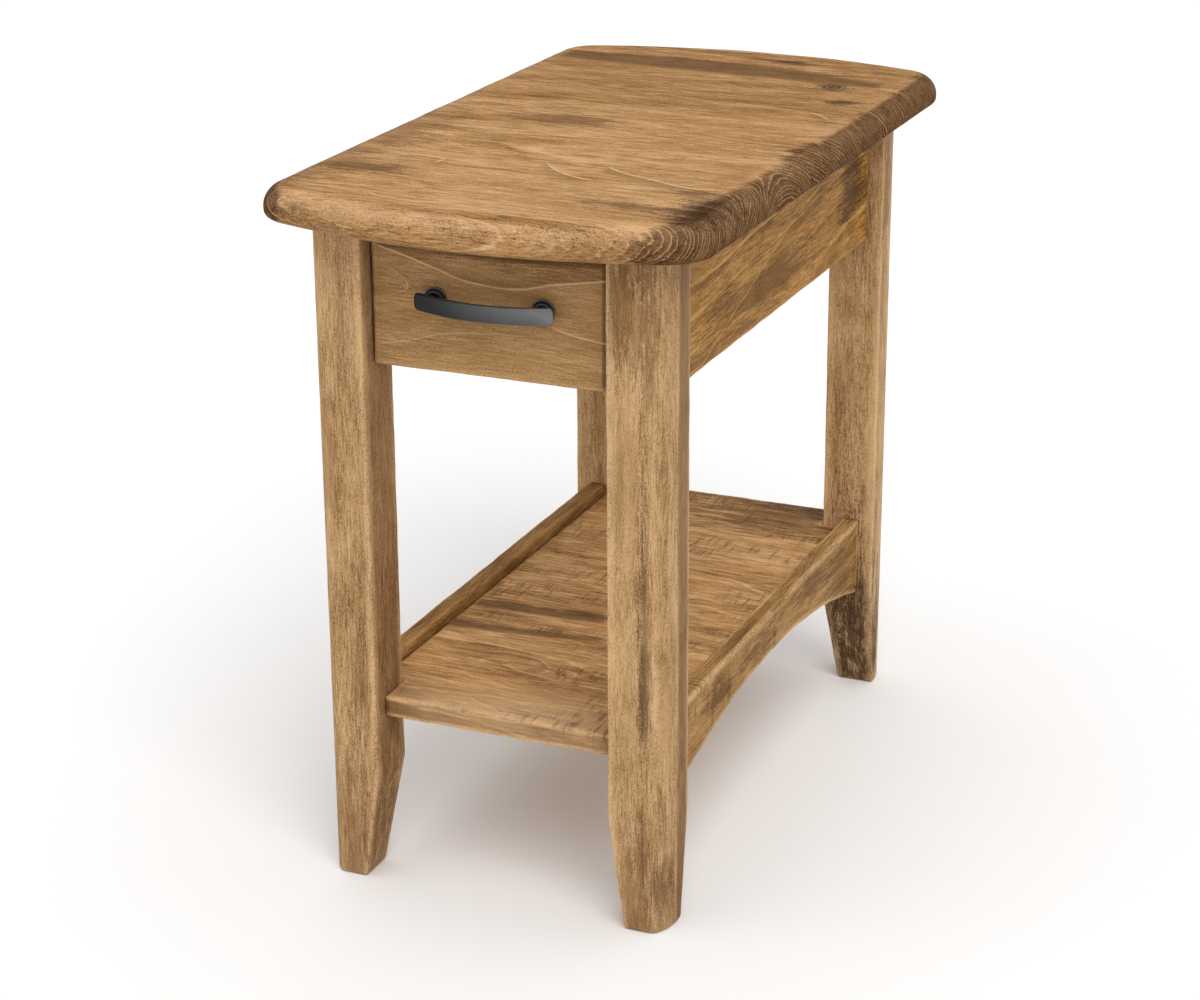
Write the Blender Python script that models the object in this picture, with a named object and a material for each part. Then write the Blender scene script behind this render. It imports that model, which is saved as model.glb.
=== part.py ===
"""Side table with one drawer: solid top with bowed ends, four posts tapered at the foot, aprons, arched lower rails,
a notched shelf, and a drawer on two telescopic slides. Metres, +Z up, front towards -Y, origin on the floor in the
middle of the table."""

import math

import bmesh
import bpy
from mathutils import Matrix, Vector

# ---------------------------------------------------------------- driving dimensions (metres)
GAP = 0.0003            # clearance between pieces that meet
HEIGHT = 0.622          # floor to top surface
TOP_T = 0.0285          # thickness of the top
TOP_HALF_W = 0.1965     # half width of the top, at its straight sides
TOP_HALF_D = 0.331      # half depth of the top at its corners
TOP_BOW = 0.0255        # how far the middle of the front and back edges stands out
TOP_CORNER_R = 0.0425   # plan radius of the corners
TOP_ROUND = 0.0190      # upper round-over
TOP_UNDER = 0.0075      # lower round-over

LEG = 0.052             # leg section
LEG_X = 0.160           # outer face of the legs in X
LEG_Y = 0.302           # outer face of the legs in Y
LEG_ROUND_A = 0.015     # the outer corner's rounding, along the front or back face
LEG_ROUND_B = 0.026     # and along the side face, where it ends in a faint crease
LEG_CREASE = 18.0       # degrees of the oval left off at that crease
TAPER_H = 0.100         # height of the foot taper
TAPER = 0.0148          # how far each inner face runs in at the floor
FOOT_EASE = 0.0014      # eased edge round the foot

INSET = 0.0145          # aprons and rails behind the outer faces of the legs
APRON_T = 0.019
APRON_Z = 0.4675        # bottom edge of the aprons
TENON = 0.022           # tenon length
TENON_T = 0.009         # tenon thickness
SHOULDER = 0.012        # tenon shoulder above and below

RAIL_T = 0.0165         # lower rails
RAIL_TOP = 0.181
RAIL_FOOT = 0.104       # bottom of the lower rails where they meet the legs
RAIL_ARCH = 0.036       # rise of the arch
SHELF_TOP = 0.1705
SHELF_T = 0.019
SHELF_FRONT = 0.286     # front edge of the shelf, from the middle
SHELF_BACK = 0.293      # back edge of the shelf, from the middle
CLEAT_W, CLEAT_H = 0.016, 0.010

RAIL_FLAT_T = 0.019     # the two flat rails behind the drawer front
RAIL_FLAT_D = 0.045

FRONT_Y = 0.286         # face of the drawer front, from the middle
FRONT_T = 0.019
FRONT_HALF_W = 0.1065
FRONT_Z0, FRONT_Z1 = 0.4715, 0.5920

BOX_HALF_W = 0.0950     # drawer box
BOX_Z0, BOX_Z1 = 0.4925, 0.5665
BOX_LEN = 0.4265
BOX_T = 0.012
BOTTOM_T = 0.006
GROOVE_UP = 0.008       # underside of the drawer bottom, above the lower edge of the box
GROOVE_D = 0.005

SLIDE_LEN = 0.400
SLIDE_TRAVEL = 0.380    # full travel of the drawer
SLIDE_Z = 0.5290        # middle height of the slides
SHEET = 0.0012          # sheet thickness of the slide members
SLIDE_START = -0.2640   # front end of the slides

PULL_X = 0.048          # half the distance between the pull's screws
PULL_Z = 0.5335
BAR_HALF = 0.0615
BAR_H = 0.0145
BAR_T = 0.0042
BAR_OUT_END = 0.0125    # front face of the bar from the drawer front, at its ends
BAR_OUT_MID = 0.0265    # and in its middle
POST_R = 0.0042
ROSETTE_R = 0.0102
ROSETTE_T = 0.0034

UNDER_TOP = HEIGHT - TOP_T
FRAME_TOP = UNDER_TOP - GAP
LEG_IN_X = LEG_X - LEG
LEG_IN_Y = LEG_Y - LEG
APRON_OUT = LEG_X - INSET
APRON_IN = APRON_OUT - APRON_T
RAIL_OUT = LEG_X - INSET
RAIL_IN = RAIL_OUT - RAIL_T
BACK_OUT = LEG_Y - INSET
BACK_IN = BACK_OUT - APRON_T

for old in list(bpy.data.objects):
    bpy.data.objects.remove(old, do_unlink=True)


# ---------------------------------------------------------------- materials
def material(name, colour, rough, metal=0.0):
    mat = bpy.data.materials.new(name)
    mat.use_nodes = True
    shader = mat.node_tree.nodes["Principled BSDF"]
    shader.inputs["Base Color"].default_value = (*colour, 1.0)
    shader.inputs["Roughness"].default_value = rough
    shader.inputs["Metallic"].default_value = metal
    mat.diffuse_color = (*colour, 1.0)
    return mat


MAPLE = {
    "top": ((0.30, 0.165, 0.070), 0.42),
    "leg": ((0.27, 0.145, 0.062), 0.48),
    "rail": ((0.28, 0.150, 0.064), 0.48),
    "shelf": ((0.24, 0.125, 0.055), 0.45),
    "front": ((0.27, 0.150, 0.060), 0.45),
    "box": ((0.56, 0.42, 0.26), 0.55),
    "block": ((0.42, 0.30, 0.18), 0.60),
}
ZINC = ((0.62, 0.63, 0.64), 0.32, 1.0)
DARK = ((0.035, 0.037, 0.042), 0.36, 0.9)


def own(obj, spec):
    obj.data.materials.append(material(obj.name + "_finish", *spec))
    return obj


# ---------------------------------------------------------------- building helpers
def link(name, bm, origin=(0.0, 0.0, 0.0)):
    """A new object from a bmesh that holds world coordinates; its origin goes to the given point."""
    bmesh.ops.recalc_face_normals(bm, faces=bm.faces)
    mesh = bpy.data.meshes.new(name)
    bm.to_mesh(mesh)
    bm.free()
    origin = Vector(origin)
    mesh.transform(Matrix.Translation(-origin))
    obj = bpy.data.objects.new(name, mesh)
    obj.location = origin
    bpy.context.scene.collection.objects.link(obj)
    return obj


def middle(lo, hi):
    return tuple((a + b) / 2 for a, b in zip(lo, hi))


def cuboid(name, lo, hi):
    bm = bmesh.new()
    bmesh.ops.create_cube(bm, size=1.0)
    size = Vector(hi) - Vector(lo)
    bmesh.ops.scale(bm, vec=size, verts=bm.verts)
    bmesh.ops.translate(bm, vec=(Vector(lo) + Vector(hi)) / 2, verts=bm.verts)
    return link(name, bm, middle(lo, hi))


def ease(obj, width, segments=1):
    """Eases the sharp outside edges and leaves the inside corners of a notch as they are."""
    bm = bmesh.new()
    bm.from_mesh(obj.data)
    weight = bm.edges.layers.float.new("bevel_weight_edge")
    for edge in bm.edges:
        sharp = edge.is_convex and edge.calc_face_angle() > math.radians(40)
        edge[weight] = 1.0 if sharp else 0.0
    bm.to_mesh(obj.data)
    bm.free()
    bevel = obj.modifiers.new("eased edges", "BEVEL")
    bevel.width = width
    bevel.segments = segments
    bevel.limit_method = "WEIGHT"
    bevel.use_clamp_overlap = True
    return obj


def board(name, lo, hi, spec, edge=0.0009):
    return own(ease(cuboid(name, lo, hi), edge), spec)


def helper(obj):
    obj.hide_render = True
    obj.display_type = "WIRE"
    return obj


def combine(obj, other, operation):
    helper(other)
    mod = obj.modifiers.new(operation.lower() + " " + other.name, "BOOLEAN")
    mod.operation = operation
    mod.solver = "EXACT"
    mod.object = other
    return obj


counter = [0]


def unique(word):
    counter[0] += 1
    return "helper_%s_%03d" % (word, counter[0])


def cut_box(obj, lo, hi):
    return combine(obj, cuboid(unique("cut"), lo, hi), "DIFFERENCE")


def add_box(obj, lo, hi):
    return combine(obj, cuboid(unique("add"), lo, hi), "UNION")


def grown(lo, hi, by=GAP):
    return tuple(v - by for v in lo), tuple(v + by for v in hi)


def turned(name, profile, start, direction, segments=16):
    """A turned solid. profile is a list of (distance along the axis, radius), with radius 0 at both ends."""
    direction = Vector(direction).normalized()
    turn = direction.to_track_quat("Z", "Y").to_matrix().to_4x4()
    bm = bmesh.new()
    rings = []
    for along, radius in profile:
        if radius <= 0:
            rings.append([bm.verts.new((0, 0, along))])
        else:
            rings.append([
                bm.verts.new((radius * math.cos(2 * math.pi * k / segments), radius * math.sin(2 * math.pi * k / segments), along))
                for k in range(segments)
            ])
    for low, high in zip(rings, rings[1:]):
        for k in range(segments):
            n = (k + 1) % segments
            if len(low) == 1:
                bm.faces.new((low[0], high[k], high[n]))
            elif len(high) == 1:
                bm.faces.new((low[k], low[n], high[0]))
            else:
                bm.faces.new((low[k], low[n], high[n], high[k]))
    bmesh.ops.transform(bm, matrix=Matrix.Translation(Vector(start)) @ turn, verts=bm.verts)
    return link(name, bm, start)


def bore(obj, start, direction, radius, length, segments=14):
    cutter = turned(unique("bore"), [(0, 0), (0, radius), (length, radius), (length, 0)], start, direction, segments)
    return combine(obj, cutter, "DIFFERENCE")


def prism(name, outline, low, high, plane, origin=None):
    """An outline extruded along the axis that its plane leaves out: 'XY' along Z, 'YZ' along X, 'XZ' along Y."""
    place = {
        "XY": lambda a, b, c: (a, b, c),
        "YZ": lambda a, b, c: (c, a, b),
        "XZ": lambda a, b, c: (a, c, b),
    }[plane]
    bm = bmesh.new()
    base = bm.faces.new([bm.verts.new(place(a, b, low)) for a, b in outline])
    side = bmesh.ops.extrude_face_region(bm, geom=[base])
    moved = [v for v in side["geom"] if isinstance(v, bmesh.types.BMVert)]
    bmesh.ops.translate(bm, vec=Vector(place(0, 0, high - low)), verts=moved)
    centre = origin or tuple(sum(v.co[i] for v in bm.verts) / len(bm.verts) for i in range(3))
    return link(name, bm, centre)


def wood_screw(name, start, direction, length, radius=0.0019, head=0.0037):
    """Pan-head wood screw: its head starts at start and the shank runs along direction."""
    obj = turned(name, [
        (0, 0), (0, head * 0.72), (0.0007, head), (0.0019, head), (0.0019, radius),
        (length - 0.004, radius), (length, 0.0),
    ], start, direction, 14)
    return own(obj, ZINC)


# ---------------------------------------------------------------- top
def top_ring(reach):
    """The plan outline of the top, where reach is the plan radius of its corners at that height."""
    inner_x = TOP_HALF_W - TOP_CORNER_R
    inner_y = TOP_HALF_D - TOP_CORNER_R
    points = []

    def bow_normal(x):
        slope = 2 * TOP_BOW * x / inner_x**2
        n = Vector((slope, 1.0))
        return n.normalized()

    bow_steps, corner_steps = 18, 7
    end_angle = math.atan2(bow_normal(inner_x).y, bow_normal(inner_x).x)
    for side in (1, -1):
        # corner from the straight side round to the bowed end
        for k in range(corner_steps + 1):
            a = end_angle * k / corner_steps
            points.append((side * (inner_x + reach * math.cos(a)), side * (inner_y + reach * math.sin(a))))
        for k in range(1, bow_steps):
            x = inner_x * (1 - 2 * k / bow_steps)
            y = inner_y + TOP_BOW * (1 - (x / inner_x) ** 2)
            n = bow_normal(x)
            points.append((side * (x + reach * n.x), side * (y + reach * n.y)))
        for k in range(corner_steps + 1):
            a = end_angle * (1 - k / corner_steps)
            points.append((side * (-inner_x - reach * math.cos(a)), side * (inner_y + reach * math.sin(a))))
    return points


def make_top():
    levels = []
    for k in range(5):
        a = math.pi / 2 * k / 4
        levels.append((TOP_UNDER * (1 - math.sin(a)), UNDER_TOP + TOP_UNDER * (1 - math.cos(a))))
    for k in range(8):
        a = math.pi / 2 * k / 7
        levels.append((TOP_ROUND * (1 - math.cos(a)), HEIGHT - TOP_ROUND + TOP_ROUND * math.sin(a)))
    bm = bmesh.new()
    rings = [[bm.verts.new((x, y, z)) for x, y in top_ring(TOP_CORNER_R - inset)] for inset, z in levels]
    for low, high in zip(rings, rings[1:]):
        count = len(low)
        for k in range(count):
            n = (k + 1) % count
            bm.faces.new((low[k], low[n], high[n], high[k]))
    bm.faces.new(list(reversed(rings[0])))
    bm.faces.new(rings[-1])
    return own(link("table_top", bm, (0, 0, UNDER_TOP)), MAPLE["top"])


# ---------------------------------------------------------------- legs
def leg_section(taper, shrink=0.0):
    """Section of a leg from its inner corner (0, 0) to its outer corner (LEG, LEG); taper moves the two inner faces in."""
    first = math.radians(LEG_CREASE)
    oval_a = LEG_ROUND_A / math.cos(first)
    oval_b = LEG_ROUND_B / (1 - math.sin(first))
    centre_u, centre_v = LEG - LEG_ROUND_A, LEG - oval_b
    steps = 9
    arc = []
    for k in range(steps + 1):
        a = first + (math.pi / 2 - first) * k / steps
        arc.append((centre_u + (oval_a - shrink) * math.cos(a), centre_v + (oval_b - shrink) * math.sin(a)))
    low = taper + shrink
    return [(low, low), (LEG - shrink, low)] + arc + [(low, LEG - shrink)]


def make_leg(name, sx, sy):
    bm = bmesh.new()
    rings = []
    for z, taper, shrink in (
        (0.0, TAPER, FOOT_EASE),
        (FOOT_EASE, TAPER * (1 - FOOT_EASE / TAPER_H), 0.0),
        (TAPER_H, 0.0, 0.0),
        (FRAME_TOP, 0.0, 0.0),
    ):
        rings.append([
            bm.verts.new((sx * (LEG_IN_X + u), sy * (LEG_IN_Y + v), z)) for u, v in leg_section(taper, shrink)
        ])
    for low, high in zip(rings, rings[1:]):
        count = len(low)
        for k in range(count):
            n = (k + 1) % count
            bm.faces.new((low[k], low[n], high[n], high[k]))
    bm.faces.new(rings[0])
    bm.faces.new(rings[-1])
    return own(link(name, bm, (sx * (LEG_IN_X + LEG / 2), sy * (LEG_IN_Y + LEG / 2), 0)), MAPLE["leg"])


# ---------------------------------------------------------------- frame
top = make_top()
legs = {}
for fb, sy in (("front", -1), ("back", 1)):
    for lr, sx in (("left", -1), ("right", 1)):
        legs[fb, lr] = make_leg("leg_%s_%s" % (fb, lr), sx, sy)


def span(sign, a, b):
    """Two distances from the middle plane turned into coordinates on one side of it."""
    return (a, b) if sign > 0 else (-b, -a)


for lr, sx in (("left", -1), ("right", 1)):
    # upper side apron, tenoned into both legs
    x0, x1 = span(sx, APRON_IN, APRON_OUT)
    end = LEG_IN_Y - GAP
    apron = board("apron_" + lr, (x0, -end, APRON_Z), (x1, end, FRAME_TOP), MAPLE["rail"])
    mid = (APRON_IN + APRON_OUT) / 2
    t0, t1 = span(sx, mid - TENON_T / 2, mid + TENON_T / 2)
    for fb, sy in (("front", -1), ("back", 1)):
        y0, y1 = span(sy, end - 0.003, LEG_IN_Y + TENON)
        lo, hi = (t0, y0, APRON_Z + SHOULDER), (t1, y1, FRAME_TOP - SHOULDER)
        add_box(apron, lo, hi)
        y0, y1 = span(sy, LEG_IN_Y - 0.004, LEG_IN_Y + TENON + GAP)
        cut_box(legs[fb, lr], (t0 - GAP, y0, lo[2] - GAP), (t1 + GAP, y1, hi[2] + GAP))

    # lower side rail with its arched lower edge
    x0, x1 = span(sx, RAIL_IN, RAIL_OUT)
    outline = [(-end, RAIL_TOP), (-end, RAIL_FOOT)]
    steps = 24
    half = end - 0.004
    for k in range(steps + 1):
        y = -half + 2 * half * k / steps
        outline.append((y, RAIL_FOOT + RAIL_ARCH * (1 - (y / half) ** 2)))
    outline += [(end, RAIL_FOOT), (end, RAIL_TOP)]
    rail = own(ease(prism("lower_rail_" + lr, outline, x0, x1, "YZ"), 0.0009), MAPLE["rail"])
    mid = (RAIL_IN + RAIL_OUT) / 2
    t0, t1 = span(sx, mid - TENON_T / 2, mid + TENON_T / 2)
    for fb, sy in (("front", -1), ("back", 1)):
        y0, y1 = span(sy, end - 0.003, LEG_IN_Y + TENON)
        lo, hi = (t0, y0, RAIL_FOOT + SHOULDER), (t1, y1, RAIL_TOP - SHOULDER)
        add_box(rail, lo, hi)
        y0, y1 = span(sy, LEG_IN_Y - 0.004, LEG_IN_Y + TENON + GAP)
        cut_box(legs[fb, lr], (t0 - GAP, y0, lo[2] - GAP), (t1 + GAP, y1, hi[2] + GAP))

    # cleat under the shelf, against the rail, with two screws up into the shelf
    c0, c1 = span(sx, RAIL_IN - GAP - CLEAT_W, RAIL_IN - GAP)
    cleat_top = SHELF_TOP - SHELF_T - GAP
    cleat = board("shelf_cleat_" + lr, (c0, -0.235, cleat_top - CLEAT_H), (c1, 0.235, cleat_top), MAPLE["block"], 0.0006)

# back apron
end = LEG_IN_X - GAP
apron_back = board("apron_back", (-end, BACK_IN, APRON_Z), (end, BACK_OUT, FRAME_TOP), MAPLE["rail"])
mid = (BACK_IN + BACK_OUT) / 2
for lr, sx in (("left", -1), ("right", 1)):
    x0, x1 = span(sx, end - 0.003, LEG_IN_X + TENON - 0.001)
    lo, hi = (x0, mid - TENON_T / 2, APRON_Z + SHOULDER), (x1, mid + TENON_T / 2, FRAME_TOP - SHOULDER)
    add_box(apron_back, lo, hi)
    x0, x1 = span(sx, LEG_IN_X - 0.004, LEG_IN_X + TENON - 0.001 + GAP)
    cut_box(legs["back", lr], (x0, lo[1] - GAP, lo[2] - GAP), (x1, hi[1] + GAP, hi[2] + GAP))

# the two flat rails behind the drawer front
rail_y0 = -FRONT_Y + FRONT_T + 0.0015
for name, z0 in (("front_top_rail", FRAME_TOP - RAIL_FLAT_T), ("front_bottom_rail", APRON_Z + 0.0015)):
    z1 = z0 + RAIL_FLAT_T
    flat = board(name, (-end, rail_y0, z0), (end, rail_y0 + RAIL_FLAT_D, z1), MAPLE["rail"])
    for lr, sx in (("left", -1), ("right", 1)):
        x0, x1 = span(sx, end - 0.003, LEG_IN_X + 0.015)
        lo, hi = (x0, rail_y0 + 0.003, z0 + 0.005), (x1, rail_y0 + 0.013, z1 - 0.005)
        add_box(flat, lo, hi)
        x0, x1 = span(sx, LEG_IN_X - 0.004, LEG_IN_X + 0.015 + GAP)
        cut_box(legs["front", lr], (x0, lo[1] - GAP, lo[2] - GAP), (x1, hi[1] + GAP, hi[2] + GAP))

# shelf, notched round the legs
wide, narrow = RAIL_IN - GAP, LEG_IN_X - GAP
notch = LEG_IN_Y - GAP
outline = [
    (-narrow, -SHELF_FRONT), (narrow, -SHELF_FRONT), (narrow, -notch), (wide, -notch), (wide, notch),
    (narrow, notch), (narrow, SHELF_BACK), (-narrow, SHELF_BACK), (-narrow, notch), (-wide, notch),
    (-wide, -notch), (-narrow, -notch),
]
shelf = own(ease(prism("shelf", outline, SHELF_TOP - SHELF_T, SHELF_TOP, "XY"), 0.0010), MAPLE["shelf"])

for lr, sx in (("left", -1), ("right", 1)):
    cleat = bpy.data.objects["shelf_cleat_" + lr]
    x = sx * (RAIL_IN - GAP - CLEAT_W / 2)
    for place, y in (("front", -0.170), ("back", 0.170)):
        start = (x, y, SHELF_TOP - SHELF_T - GAP - CLEAT_H - GAP - 0.0019)
        wood_screw("shelf_screw_%s_%s" % (place, lr), start, (0, 0, 1), 0.024)
        bore(cleat, (x, y, start[2] - 0.002), (0, 0, 1), 0.0019 + GAP, 0.030)
        bore(shelf, (x, y, SHELF_TOP - SHELF_T - 0.003), (0, 0, 1), 0.0019 + GAP, 0.003 + 0.0125)

# ---------------------------------------------------------------- clips that hold the top
for lr, sx in (("left", -1), ("right", 1)):
    apron = bpy.data.objects["apron_" + lr]
    for place, y in (("front", -0.160), ("back", 0.185)):
        t = 0.0016
        z1 = FRAME_TOP - GAP
        zt = z1 - 0.0130
        # tongue in the slot, riser, flat under the top
        points = [
            (APRON_IN + 0.0085, zt), (APRON_IN + 0.0085, zt + t), (APRON_IN - 0.0030, zt + t),
            (APRON_IN - 0.0030, z1), (APRON_IN - 0.0290, z1), (APRON_IN - 0.0290, z1 - t),
            (APRON_IN - 0.0030 - t, z1 - t), (APRON_IN - 0.0030 - t, zt),
        ]
        points = [(sx * a, b) for a, b in points]
        clip = own(prism("top_clip_%s_%s" % (place, lr), points, y - 0.010, y + 0.010, "XZ"), ZINC)
        s0, s1 = span(sx, APRON_IN - 0.002, APRON_IN + 0.0100)
        cut_box(apron, (s0, y - 0.012, zt - 0.0008), (s1, y + 0.012, zt + t + 0.0012))
        x = sx * (APRON_IN - 0.0180)
        start = (x, y, z1 - t - GAP - 0.0019)
        wood_screw("top_screw_%s_%s" % (place, lr), start, (0, 0, 1), 0.021)
        bore(clip, (x, y, start[2] - 0.002), (0, 0, 1), 0.0019 + GAP, 0.010)
        bore(top, (x, y, UNDER_TOP - 0.003), (0, 0, 1), 0.0019 + GAP, 0.003 + 0.0175)

# ---------------------------------------------------------------- rear corner blocks
for lr, sx in (("left", -1), ("right", 1)):
    reach = 0.072
    corner_x, corner_y = APRON_IN - GAP, BACK_IN - GAP
    points = [
        (corner_x, corner_y - reach), (corner_x, LEG_IN_Y - GAP), (LEG_IN_X - GAP, LEG_IN_Y - GAP),
        (LEG_IN_X - GAP, corner_y), (corner_x - reach, corner_y),
    ]
    z0, z1 = 0.5525, 0.5780
    block = own(prism("corner_block_" + lr, [(sx * a, b) for a, b in points], z0, z1, "XY"), MAPLE["block"])
    # screw through the block into the inner corner of the leg
    away = Vector((sx, 1, 0)).normalized()
    face = Vector((sx * (corner_x - reach / 2), corner_y - reach / 2, (z0 + z1) / 2))
    start = face - away * (0.0019 + GAP)
    depth = (Vector((sx * LEG_IN_X, LEG_IN_Y, face.z)) - face).length + 0.018
    wood_screw("corner_screw_" + lr, start, away, depth, 0.0022, 0.0042)
    bore(block, start - away * 0.002, away, 0.0022 + GAP, 0.060)
    bore(legs["back", lr], face, away, 0.0022 + GAP, depth + 0.001)

# ---------------------------------------------------------------- slides
def channel(name, sx, web, lips, half_height, start, spec):
    """A C section along Y. web is the X of its outer web face, lips the X where its flanges end."""
    step = SHEET if lips > web else -SHEET
    points = [
        (web, -half_height), (lips, -half_height), (lips, -half_height + SHEET), (web + step, -half_height + SHEET),
        (web + step, half_height - SHEET), (lips, half_height - SHEET), (lips, half_height), (web, half_height),
    ]
    points = [(sx * a, SLIDE_Z + b) for a, b in points]
    return own(prism(name, points, start, start + SLIDE_LEN, "XZ", (sx * web, start, SLIDE_Z)), spec)


cab_web = LEG_IN_X - GAP
draw_web = BOX_HALF_W + GAP
for lr, sx in (("left", -1), ("right", 1)):
    spacer_out, spacer_in = APRON_IN - GAP, LEG_IN_X
    x0, x1 = span(sx, spacer_in, spacer_out)
    spacer = board("slide_spacer_" + lr, (x0, -(LEG_IN_Y - GAP), SLIDE_Z - 0.0225), (x1, LEG_IN_Y - GAP, SLIDE_Z + 0.0225), MAPLE["block"], 0.0006)
    cabinet = channel("slide_cabinet_" + lr, sx, cab_web, cab_web - 0.0090, 0.0225, SLIDE_START, ZINC)
    channel("slide_middle_" + lr, sx, cab_web - 0.0030, cab_web - 0.0100, 0.0195, SLIDE_START + 0.0005, ZINC)
    inner = channel("slide_drawer_" + lr, sx, draw_web, draw_web + 0.0060, 0.0165, SLIDE_START + 0.0005, ZINC)
    for place, y in (("front", SLIDE_START + 0.042), ("back", SLIDE_START + 0.345)):
        # cabinet member to the spacer; its head lies inside the section
        start = (sx * (cab_web - SHEET - GAP - 0.0010), y, SLIDE_Z)
        screw = turned("slide_screw_%s_%s" % (place, lr), [
            (0, 0), (0, 0.0030), (0.0010, 0.0030), (0.0010, 0.0016), (0.0125, 0.0016), (0.0155, 0),
        ], start, (sx, 0, 0), 12)
        own(screw, ZINC)
        bore(cabinet, (sx * (cab_web - 0.004), y, SLIDE_Z), (sx, 0, 0), 0.0016 + GAP, 0.008, 12)
        bore(spacer, (sx * (spacer_in - 0.002), y, SLIDE_Z), (sx, 0, 0), 0.0016 + GAP, 0.002 + 0.0145, 12)

# ---------------------------------------------------------------- drawer
drawer_origin = bpy.data.objects.new("drawer_axis", None)
drawer_origin.location = (0, -FRONT_Y, SLIDE_Z)
bpy.context.scene.collection.objects.link(drawer_origin)
before = set(bpy.data.objects)

front_back = -FRONT_Y + FRONT_T
front = own(ease(cuboid("drawer_front", (-FRONT_HALF_W, -FRONT_Y, FRONT_Z0), (FRONT_HALF_W, front_back, FRONT_Z1)), 0.0016, 2), MAPLE["front"])

by0 = front_back + GAP
by1 = by0 + BOX_LEN
inner_w = BOX_HALF_W - BOX_T
sides = {}
for lr, sx in (("left", -1), ("right", 1)):
    x0, x1 = span(sx, inner_w, BOX_HALF_W)
    sides[lr] = board("drawer_side_" + lr, (x0, by0, BOX_Z0), (x1, by1, BOX_Z1), MAPLE["box"], 0.0007)
box_front = board("drawer_box_front", (-inner_w + GAP, by0, BOX_Z0), (inner_w - GAP, by0 + BOX_T, BOX_Z1), MAPLE["box"], 0.0006)
box_back = board("drawer_back", (-inner_w + GAP, by1 - BOX_T, BOX_Z0), (inner_w - GAP, by1, BOX_Z1), MAPLE["box"], 0.0006)
g0 = BOX_Z0 + GROOVE_UP
g1 = g0 + BOTTOM_T
reach = inner_w + GROOVE_D - GAP
board("drawer_bottom", (-reach, by0 + BOX_T - GROOVE_D + GAP, g0), (reach, by1 - BOX_T + GROOVE_D - GAP, g1), MAPLE["box"], 0.0004)
for lr, sx in (("left", -1), ("right", 1)):
    x0, x1 = span(sx, inner_w - 0.004, inner_w + GROOVE_D)
    cut_box(sides[lr], (x0, by0 + BOX_T - GROOVE_D, g0 - GAP), (x1, by1 - BOX_T + GROOVE_D, g1 + GAP))
cut_box(box_front, (-BOX_HALF_W, by0 + BOX_T - GROOVE_D, g0 - GAP), (BOX_HALF_W, by0 + BOX_T + 0.004, g1 + GAP))
cut_box(box_back, (-BOX_HALF_W, by1 - BOX_T - 0.004, g0 - GAP), (BOX_HALF_W, by1 - BOX_T + GROOVE_D, g1 + GAP))

# screws that hold the applied front
for lr, sx in (("left", -1), ("right", 1)):
    x, z = sx * 0.071, 0.5330
    start = (x, by0 + BOX_T + GAP + 0.0019, z)
    wood_screw("front_screw_" + lr, start, (0, -1, 0), 0.027)
    bore(box_front, (x, by0 + BOX_T + 0.002, z), (0, -1, 0), 0.0019 + GAP, BOX_T + 0.004)
    bore(front, (x, front_back + 0.002, z), (0, -1, 0), 0.0019 + GAP, 0.002 + 0.0135)

# pull: bowed strap on two posts, a round foot under each post, screws from inside
bm = bmesh.new()
stations = 28
rings = []
for k in range(stations + 1):
    x = -BAR_HALF + 2 * BAR_HALF * k / stations
    out = BAR_OUT_END + (BAR_OUT_MID - BAR_OUT_END) * (1 - (x / BAR_HALF) ** 2)
    slope = -2 * (BAR_OUT_MID - BAR_OUT_END) * x / BAR_HALF**2
    along = Vector((1, -slope, 0)).normalized()
    back = Vector((-along.y, along.x, 0))
    if back.y < 0:
        back.negate()
    face = Vector((x, -FRONT_Y - out, PULL_Z))
    c = 0.0011
    h = BAR_H / 2
    section = [(c, -h), (BAR_T - c, -h), (BAR_T, -h + c), (BAR_T, h - c), (BAR_T - c, h), (c, h), (0, h - c), (0, -h + c)]
    rings.append([bm.verts.new(face + back * d + Vector((0, 0, v))) for d, v in section])
for low, high in zip(rings, rings[1:]):
    for k in range(8):
        n = (k + 1) % 8
        bm.faces.new((low[k], low[n], high[n], high[k]))
bm.faces.new(rings[0])
bm.faces.new(rings[-1])
pull = own(link("pull_handle", bm, (0, -FRONT_Y, PULL_Z)), DARK)
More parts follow.
